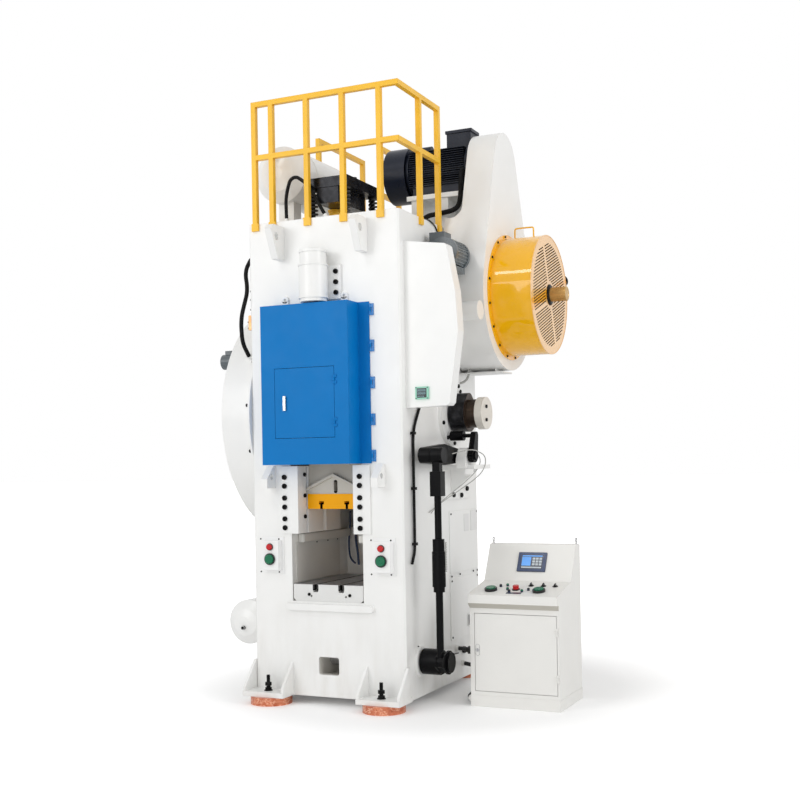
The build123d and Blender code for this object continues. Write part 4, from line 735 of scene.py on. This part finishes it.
# Display of the stroke counter
glass = moulded("counter_glass", srgb(22, 30, 32), gloss=0.15)
digit = Finish("lit_digits", roughness=0.4)
digit.colour(digit.mottled(srgb(150, 190, 196), 0.1, 40))
digit.shader.inputs["Emission Color"].default_value = srgb(120, 170, 180)
digit.shader.inputs["Emission Strength"].default_value = 0.35
counter_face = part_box("stroke_counter")[0].y
window, window_mesh = piece("counter_window", glass.material)
slab(window_mesh, (0.770, counter_face - 0.003, 2.396), (0.850, counter_face + 0.001, 2.468), 0.0015)
finish_piece(window, window_mesh)
readout, readout_mesh = piece("counter_digits", digit.material)
face = counter_face - 0.0031
width, bar, digit_pitch = 0.0078, 0.0014, 0.0115
for z, height, count in ((2.444, 0.015, 6), (2.421, 0.015, 6), (2.403, 0.006, 5)):
    for n in range(count):
        x = 0.777 + n * digit_pitch
        for low, high in (((x, z), (x + width, z + bar)), ((x, z + height - bar), (x + width, z + height)),
                          ((x, z), (x + bar, z + height)), ((x + width - bar, z), (x + width, z + height))):
            slab(readout_mesh, (low[0], face - 0.0006, low[1]), (high[0], face, high[1]))
finish_piece(readout, readout_mesh)

# Small screws of the counter, the hand stations, the front and the side panels
corner_screws, corner_mesh = piece("small_screws", blackened.material)
for x in (0.763, 0.857):
    for z in (2.391, 2.473):
        small_screw(corner_mesh, (x, counter_face, z), FORWARD, 0.0045)
for node_low, node_high in islands("hand_stations")[:2]:
    for x in (node_low.x + 0.014, node_high.x - 0.014):
        for z in (node_low.z + 0.014, node_high.z - 0.014):
            small_screw(corner_mesh, (x, at(-0.0605), z), FORWARD, 0.0068)
for x, z in ((-0.546, 1.775), (0.449, 1.780)):
    socket_head(corner_mesh, (x, FRONT, z), FORWARD, 0.0135, 0.011)
for z in (1.82, 1.653, 1.485):
    socket_head(corner_mesh, (-0.246, at(0.09), z), RIGHT, 0.0165, 0.012)
bolster_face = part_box("bolster")[0].y
for x in (-0.169, 0.193):
    socket_head(corner_mesh, (x, bolster_face + 0.0005, 0.871), FORWARD, 0.0125, 0.009)
for depth, z in ((0.925, 0.945), (1.107, 0.950), (1.414, 0.950), (1.51, 0.950), (0.925, 1.465),
                 (1.505, 1.465), (0.925, 0.435), (1.505, 0.435), (0.925, 0.905), (1.505, 0.905)):
    small_screw(corner_mesh, (SIDE + 0.006, at(depth), z), RIGHT, 0.0088)
finish_piece(corner_screws, corner_mesh)

# Recessed handle, a pair of blank plates and a black knob on the side panels
plate_paint = enamel("plate_enamel", srgb(232, 232, 231), gloss=0.35)
fittings, fitting_mesh = piece("side_fittings", plate_paint.material)
slab(fitting_mesh, (SIDE + 0.005, at(1.262), 0.482), (SIDE + 0.012, at(1.300), 0.600), 0.003)
slab(fitting_mesh, (SIDE - 0.001, at(1.213), 1.307), (SIDE + 0.009, at(1.322), 1.454), 0.001)
slab(fitting_mesh, (SIDE - 0.001, at(1.369), 1.305), (SIDE + 0.009, at(1.512), 1.480), 0.001)
finish_piece(fittings, fitting_mesh)
grip, grip_mesh = piece("side_grip", black_plastic.material)
slab(grip_mesh, (SIDE + 0.011, at(1.272), 0.497), (SIDE + 0.0135, at(1.290), 0.585), 0.001)
turned(grip_mesh, (SIDE - 0.001, at(1.163), 0.300), RIGHT,
       ((0, 0.03), (0.02, 0.03), (0.022, 0.02), (0.05, 0.02), (0.052, 0.034), (0.07, 0.034), (0.074, 0.028),
        (0.074, 0)))
finish_piece(grip, grip_mesh)

# Small lifting ears behind the top edge of the blue cover
ears, ear_mesh = piece("cover_ears", white.material)
for x in (-0.333, 0.197):
    turned(ear_mesh, (x, at(0.001), 3.214), FORWARD,
           ((0, 0.011), (0, 0.030), (0.016, 0.030), (0.0175, 0.0285), (0.0175, 0.0125), (0.016, 0.011),
            (0, 0.011)), 32)
    slab(ear_mesh, (x - 0.0295, at(-0.0165), 3.150), (x + 0.0295, at(0.001), 3.204), 0.001)
finish_piece(ears, ear_mesh)

# Plug of the side tank, and the brass block with its fittings beside the left hose
tank_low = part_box("side_tank")[0]
plug, plug_mesh = piece("tank_plug", blackened.material)
turned(plug_mesh, (-0.862, tank_low.y + 0.016, 0.560), FORWARD,
       ((0, 0.0175), (0.014, 0.0175), (0.016, 0.012), (0.024, 0.012), (0.026, 0.007)), 18)
finish_piece(plug, plug_mesh)
brass = bare_metal("brass_block", srgb(214, 168, 122), gloss=0.34, brushed=(1, 30, 1))
block_face = -0.6365
manifold, manifold_mesh = piece("left_manifold", brass.material)
slab(manifold_mesh, (block_face - 0.034, at(0.012), 3.10), (block_face + 0.01, at(0.10), 3.37), 0.003)
slab(manifold_mesh, (block_face - 0.060, at(0.012), 3.00), (block_face + 0.01, at(0.10), 3.12), 0.003)
finish_piece(manifold, manifold_mesh)
unions, union_mesh = piece("left_unions", plated.material)
for z, reach in ((3.32, 0.034), (3.25, 0.034), (3.17, 0.034), (3.07, 0.060), (3.02, 0.060)):
    turned(union_mesh, (block_face - reach + 0.002, at(0.045), z), LEFT,
           ((0, 0.014), (0.010, 0.014), (0.012, 0.009), (0.024, 0.009), (0.026, 0.006)), 6)
finish_piece(unions, union_mesh)

# Ledges and panel inside the die space, in a darker grey that is painted shade
inner_shade_paint = enamel("inner_painted_shade_enamel", srgb(214, 212, 206), gloss=0.45, wear=0.08)
ledge, ledge_mesh = piece("die_space_ledges", inner_shade_paint.material)
slab(ledge_mesh, (-0.319, at(0.10), 1.275), (-0.262, at(0.93), 1.345), 0.006)
slab(ledge_mesh, (0.262, at(0.03), 1.280), (0.319, at(0.42), 1.345), 0.006)
slab(ledge_mesh, (-0.319, at(0.06), 0.955), (-0.309, at(0.80), 1.277), 0.002)
finish_piece(ledge, ledge_mesh)
ledge_screws, ledge_screw_mesh = piece("ledge_screws", blackened.material)
for depth in (0.395, 0.586, 0.759):
    small_screw(ledge_screw_mesh, (-0.309, at(depth), 1.260), RIGHT, 0.007)
finish_piece(ledge_screws, ledge_screw_mesh)
cable_blue = moulded("cable_blue", srgb(44, 62, 96), gloss=0.45)
line_grey = moulded("grey_tubing", srgb(176, 176, 172), gloss=0.4)

# Cables in the die space, grease lines at the knock-out lever, and thin lines on the right side: below the
# crown, round the crank bearing and to the window. Their points are X, depth and Z.
lines = (
    ("die_space_cable_1", cable_blue, 0.008, "frame",
     ((-0.27, 0.93, 1.49), (-0.268, 0.925, 1.38), (-0.27, 0.90, 1.27), (-0.262, 0.88, 1.16),
      (-0.235, 0.86, 1.07), (-0.19, 0.86, 1.045))),
    ("die_space_cable_2", cable_blue, 0.010, "frame",
     ((-0.225, 0.94, 1.50), (-0.222, 0.935, 1.36), (-0.21, 0.91, 1.24), (-0.18, 0.89, 1.13),
      (-0.172, 0.885, 1.03))),
    ("grease_line_1", line_grey, 0.004, "lever",
     ((0.935, 0.35, 1.965), (0.962, 0.48, 1.985), (0.968, 0.66, 2.0), (0.968, 0.80, 1.99))),
    ("grease_line_2", line_grey, 0.004, "frame",
     ((0.965, 0.80, 1.985), (0.985, 0.90, 1.97), (0.985, 0.97, 1.90), (0.96, 0.92, 1.80),
      (0.86, 0.80, 1.70), (0.76, 0.62, 1.60), (0.70, 0.50, 1.53), (0.676, 0.47, 1.50))),
    ("grease_line_3", line_grey, 0.0035, "frame",
     ((0.93, 0.84, 1.985), (0.955, 0.93, 1.94), (0.93, 0.93, 1.84), (0.84, 0.84, 1.73), (0.74, 0.66, 1.61),
      (0.68, 0.55, 1.52), (0.672, 0.52, 1.49))),
    ("crown_cable", black_plastic, 0.006, "frame",
     ((0.640, 0.53, 3.857), (0.672, 0.56, 3.859), (0.677, 0.60, 3.850), (0.676, 0.70, 3.833),
      (0.676, 0.766, 3.762), (0.676, 0.88, 3.75), (0.676, 0.979, 3.812))),
    ("bearing_line", line_grey, 0.010, "frame",
     ((0.676, 0.93, 2.80), (0.72, 0.98, 2.81), (0.75, 1.08, 2.80), (0.76, 1.17, 2.73), (0.755, 1.20, 2.64),
      (0.72, 1.19, 2.58), (0.676, 1.17, 2.57))),
    ("window_cable", black_plastic, 0.005, "frame",
     ((0.676, 0.217, 0.468), (0.69, 0.33, 0.405), (0.69, 0.52, 0.35), (0.69, 0.74, 0.31),
      (0.676, 1.04, 0.29))),
)
for name, finish, radius, body, route in lines:
    wire(name, [(x, at(depth), z) for x, depth, z in route], radius, finish.material, body)

# Curly line down the sleeve of the pull rod
rod_x, rod_y = 0.89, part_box("pull_rod")[1].y - 0.06
coil_radius, coil_steps, coil_angle = 0.006, 100, 1.1
coil = [(rod_x + 0.040, rod_y, 1.292)]
for step in range(coil_steps + 1):
    angle = step * coil_angle
    coil.append((rod_x + 0.060 + coil_radius * cos(angle), rod_y + coil_radius * sin(angle),
                 1.285 - 0.225 * step / coil_steps))
coil.append((rod_x + 0.050, rod_y, 1.052))
wire("curly_line", coil, 0.003, line_grey.material, "pull_rod")

# Strap over the crank bearing with its bolt
strap, strap_mesh = piece("bearing_strap", white.material)
steps = 12
outline = []
for depth, z, radius, start in ((1.00, 2.770, 0.060, -14), (1.068, 2.540, 0.048, 166)):
    for n in range(steps + 1):
        turn = radians(start + 180 * n / steps)
        outline.append((depth + radius * cos(turn), z + radius * sin(turn)))
near = [strap_mesh.verts.new((SIDE - 0.002, at(depth), z)) for depth, z in outline]
far = [strap_mesh.verts.new((SIDE + 0.034, at(depth), z)) for depth, z in outline]
strap_mesh.faces.new(near)
strap_mesh.faces.new(far)
bridge(strap_mesh, near, far)
finish_piece(strap, strap_mesh)
strap_bolt, strap_bolt_mesh = piece("strap_bolt", blackened.material)
socket_head(strap_bolt_mesh, (SIDE + 0.033, at(1.068), 2.540), RIGHT, 0.017, 0.013)
finish_piece(strap_bolt, strap_bolt_mesh)

# Black collars round the buttons of the desk, and its small lamps
DESK_RISE = 78 / 366
desk_lean = atan(DESK_RISE)


def desk_point(x, depth, lift=0.0):
    """A point on the sloping desk of the console, or above it by a lift square to it."""
    height = 0.872 + (depth - 0.332) * DESK_RISE
    return Vector((x, at(depth) - lift * sin(desk_lean), height + lift * cos(desk_lean)))


desk_up = (0, -sin(desk_lean), cos(desk_lean))
collars, collar_mesh = piece("desk_collars", black_plastic.material)
for x, depth in ((1.200, 0.450), (1.590, 0.450)):
    turned(collar_mesh, desk_point(x, depth), desk_up,
           ((0, 0.050), (0.018, 0.050), (0.0205, 0.0475), (0.0205, 0.0395), (0.002, 0.0395)), 40)
turned(collar_mesh, desk_point(1.395, 0.480), desk_up,
       ((0, 0.031), (0.0065, 0.031), (0.0068, 0.0252), (0.002, 0.0252)), 32)
for x in (1.485, 1.585, 1.680):
    turned(collar_mesh, desk_point(x, 0.580), desk_up,
           ((0, 0.0215), (0.0042, 0.0215), (0.0045, 0.0152), (0.001, 0.0152)), 28)
finish_piece(collars, collar_mesh)
lamps = {"green_lamps": (green, ((1.330, 0.470), (1.300, 0.560), (1.460, 0.430))),
         "black_lamps": (black_plastic, ((1.500, 0.470), (1.360, 0.420), (1.250, 0.540)))}
for name, (finish, places) in lamps.items():
    lamp, lamp_mesh = piece(name, finish.material)
    for x, depth in places:
        turned(lamp_mesh, desk_point(x, depth, 0.013), desk_up,
               ((0, 0.0114), (0.002, 0.0114), (0.006, 0.0095), (0.0085, 0.005), (0.009, 0)))
    finish_piece(lamp, lamp_mesh)

# Screen of the console: generic panes and keys
SLOPE_RISE = 282 / 147
slope_origin = Vector((1.432, at(0.772), 0.950 + 0.074 * SLOPE_RISE))
slope = Matrix.Translation(slope_origin) @ Matrix.Rotation(atan(SLOPE_RISE), 4, "X")
screen_glow = Finish("screen_glow", roughness=0.25)
screen_glow.colour(screen_glow.mix(screen_glow.noise(9, 2), srgb(60, 130, 210), srgb(96, 168, 236)))
screen_glow.shader.inputs["Emission Color"].default_value = srgb(70, 140, 220)
screen_glow.shader.inputs["Emission Strength"].default_value = 0.3
screen_dark = moulded("screen_dark", srgb(30, 40, 66), gloss=0.18)
screen_keys = moulded("screen_keys", srgb(190, 200, 206), gloss=0.3)
bezel_paint = moulded("screen_bezel", srgb(48, 64, 100), gloss=0.35)
key_pitch, row_pitch = 0.028, 0.024
keys = [((0.004 + key_pitch * column, -0.030 + row_pitch * row, 0.0105),
         (0.026 + key_pitch * column, -0.012 + row_pitch * row, 0.0112))
        for column in range(3) for row in range(3)]
key_bar = ((-0.083, -0.054, 0.0105), (0.083, -0.042, 0.0112))
panes = (
    ("screen_bezel", bezel_paint, (((-0.1165, -0.0815, 0.0085), (0.1165, 0.0815, 0.0098)),)),
    ("screen_face", screen_dark, (((-0.090, -0.060, 0.0097), (0.090, 0.060, 0.0106)),)),
    ("screen_pane", screen_glow, (((-0.083, -0.034, 0.0105), (-0.008, 0.040, 0.0112)),
                                  ((-0.083, 0.045, 0.0105), (0.083, 0.055, 0.0112)))),
    ("screen_keys", screen_keys, (*keys, key_bar)),
)
for name, finish, boxes in panes:
    pane, pane_mesh = piece(name, finish.material)
    for low, high in boxes:
        slab(pane_mesh, low, high, 0.0003, slope)
    finish_piece(pane, pane_mesh)

# Lifting eyes of the console: a collar on the top and a ring that faces the sides
eyes, eye_mesh = piece("lifting_eyes", plated.material)
eye_y, eye_z, ring_radius, bar = at(0.90), 1.264, 0.0185, 0.0045
rolls = [pi * k / 5 for k in range(10)]
steps = 28
for x in (1.062, 1.758):
    turned(eye_mesh, (x, eye_y, 1.2315), UP,
           ((0, 0.013), (0.004, 0.013), (0.006, 0.008), (0.012, 0.007)), 20)
    loops = []
    for n in range(steps):
        turn = 2 * pi * n / steps
        loop = []
        for roll in rolls:
            reach = ring_radius + bar * cos(roll)
            place = (x + bar * sin(roll), eye_y + reach * cos(turn), eye_z + reach * sin(turn))
            loop.append(eye_mesh.verts.new(place))
        loops.append(loop)
    for low, high in zip(loops, loops[1:] + loops[:1]):
        bridge(eye_mesh, low, high)
finish_piece(eyes, eye_mesh)

# Oval rim round the latch of the console's door: two half rings joined by straight sides
latch_low, latch_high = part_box("console_latch")
latch_x, latch_z = latch_high.x - 0.013, (latch_low.z + latch_high.z) / 2
oval_y = latch_low.y + 0.014
half_width, half_side = 0.0167, 0.028
oval, oval_mesh = piece("latch_plate", plated.material)
steps = 40
rings = []
for size, lift in ((1.0, 0.0), (1.0, 0.0012), (0.97, 0.0016), (0.90, 0.0016), (0.87, 0.0012), (0.87, 0.0)):
    ring = []
    for n in range(steps):
        turn = 2 * pi * n / steps
        shift = half_side if sin(turn) > 1e-6 else -half_side if sin(turn) < -1e-6 else 0
        ring.append(oval_mesh.verts.new((latch_x + half_width * size * cos(turn), oval_y - lift,
                                         latch_z + shift + half_width * size * sin(turn))))
    rings.append(ring)
for low, high in zip(rings, rings[1:] + rings[:1]):
    bridge(oval_mesh, low, high)
finish_piece(oval, oval_mesh, "console_door")

# Floor and backdrop: white to the camera, and the floor keeps the object's shadow
floor_material = Finish("floor", roughness=0.7)
floor_material.colour(floor_material.mottled(srgb(252, 252, 252), 0.01, 1.0))
outside = floor_material.ramp(floor_material.distance(0, 0.5, 1, 0.2), 1.5, 4.2, 0.09, 1.0)
ray = floor_material.node("ShaderNodeLightPath").outputs["Is Camera Ray"]
floor_material.shader.inputs["Emission Color"].default_value = (1, 1, 1, 1)
floor_material.feed(floor_material.shader.inputs["Emission Strength"], floor_material.both(ray, outside))
bpy.ops.mesh.primitive_plane_add(size=240)
floor = bpy.context.object
floor.name = "floor"
floor.data.materials.append(floor_material.material)

world = bpy.data.worlds.new("studio")
world.use_nodes = True
sky = world.node_tree
background = sky.nodes["Background"]
background.inputs["Color"].default_value = (1, 1, 1, 1)
# White to the eye and in reflections, and a plain light level on the object
rays = sky.nodes.new("ShaderNodeLightPath")
seen = rays.outputs["Is Camera Ray"]
for kind in ("Is Transmission Ray", "Is Glossy Ray"):
    either = sky.nodes.new("ShaderNodeMath")
    either.operation = "MAXIMUM"
    sky.links.new(seen, either.inputs[0])
    sky.links.new(rays.outputs[kind], either.inputs[1])
    seen = either.outputs[0]
strength = sky.nodes.new("ShaderNodeMapRange")
strength.inputs["To Min"].default_value = SKY_LIGHT
strength.inputs["To Max"].default_value = 1.0
sky.links.new(seen, strength.inputs["Value"])
sky.links.new(strength.outputs["Result"], background.inputs["Strength"])
bpy.context.scene.world = world


def area_light(name, place, aim, size, power):
    """A soft box at a place, turned to a point."""
    data = bpy.data.lights.new(name, "AREA")
    data.shape = "RECTANGLE"
    data.size, data.size_y = size
    data.energy = power
    lamp = bpy.data.objects.new(name, data)
    lamp.location = place
    lamp.rotation_euler = (Vector(aim) - Vector(place)).to_track_quat("-Z", "Y").to_euler()
    bpy.context.scene.collection.objects.link(lamp)


# Place, aim, size and power
area_light("key", (-4.5, -9.5, 5.2), (0, 0, 2.0), (5, 5), 218)
area_light("strip", (-1.8, -6.6, 9.5), (1.2, 0.3, 2.9), (3, 0.9), 70)
area_light("side", (9.0, -2.0, 5.5), (0.6, 0, 2.4), (4, 5), 205)
area_light("low", (1.5, -9.5, 1.2), (0.3, 0, 1.4), (5, 2), 45)

# Camera: the photograph is 800 pixels wide and high, its horizon lies at row 463
PICTURE = 800
FOCAL_LENGTH = 1180
HORIZON = 463
ROLL = 0.0175
camera_data = bpy.data.cameras.new("camera")
camera = bpy.data.objects.new("camera", camera_data)
bpy.context.scene.collection.objects.link(camera)
camera_data.sensor_width = 36
camera_data.lens = camera_data.sensor_width * FOCAL_LENGTH / PICTURE
camera_data.shift_y = (HORIZON - PICTURE / 2) / PICTURE
forward = Vector((-0.421, 0.907, 0)).normalized()
right = Vector((forward.y, -forward.x, 0))
tilt = Matrix((right, UP, -forward)).transposed() @ Matrix.Rotation(-atan(ROLL), 3, "Z")
camera.matrix_world = Matrix.Translation((4.443, -8.959, 1.9)) @ tilt.to_4x4()
camera_data.clip_end = 300
bpy.context.scene.camera = camera
bpy.context.scene.view_settings.view_transform = "Standard"
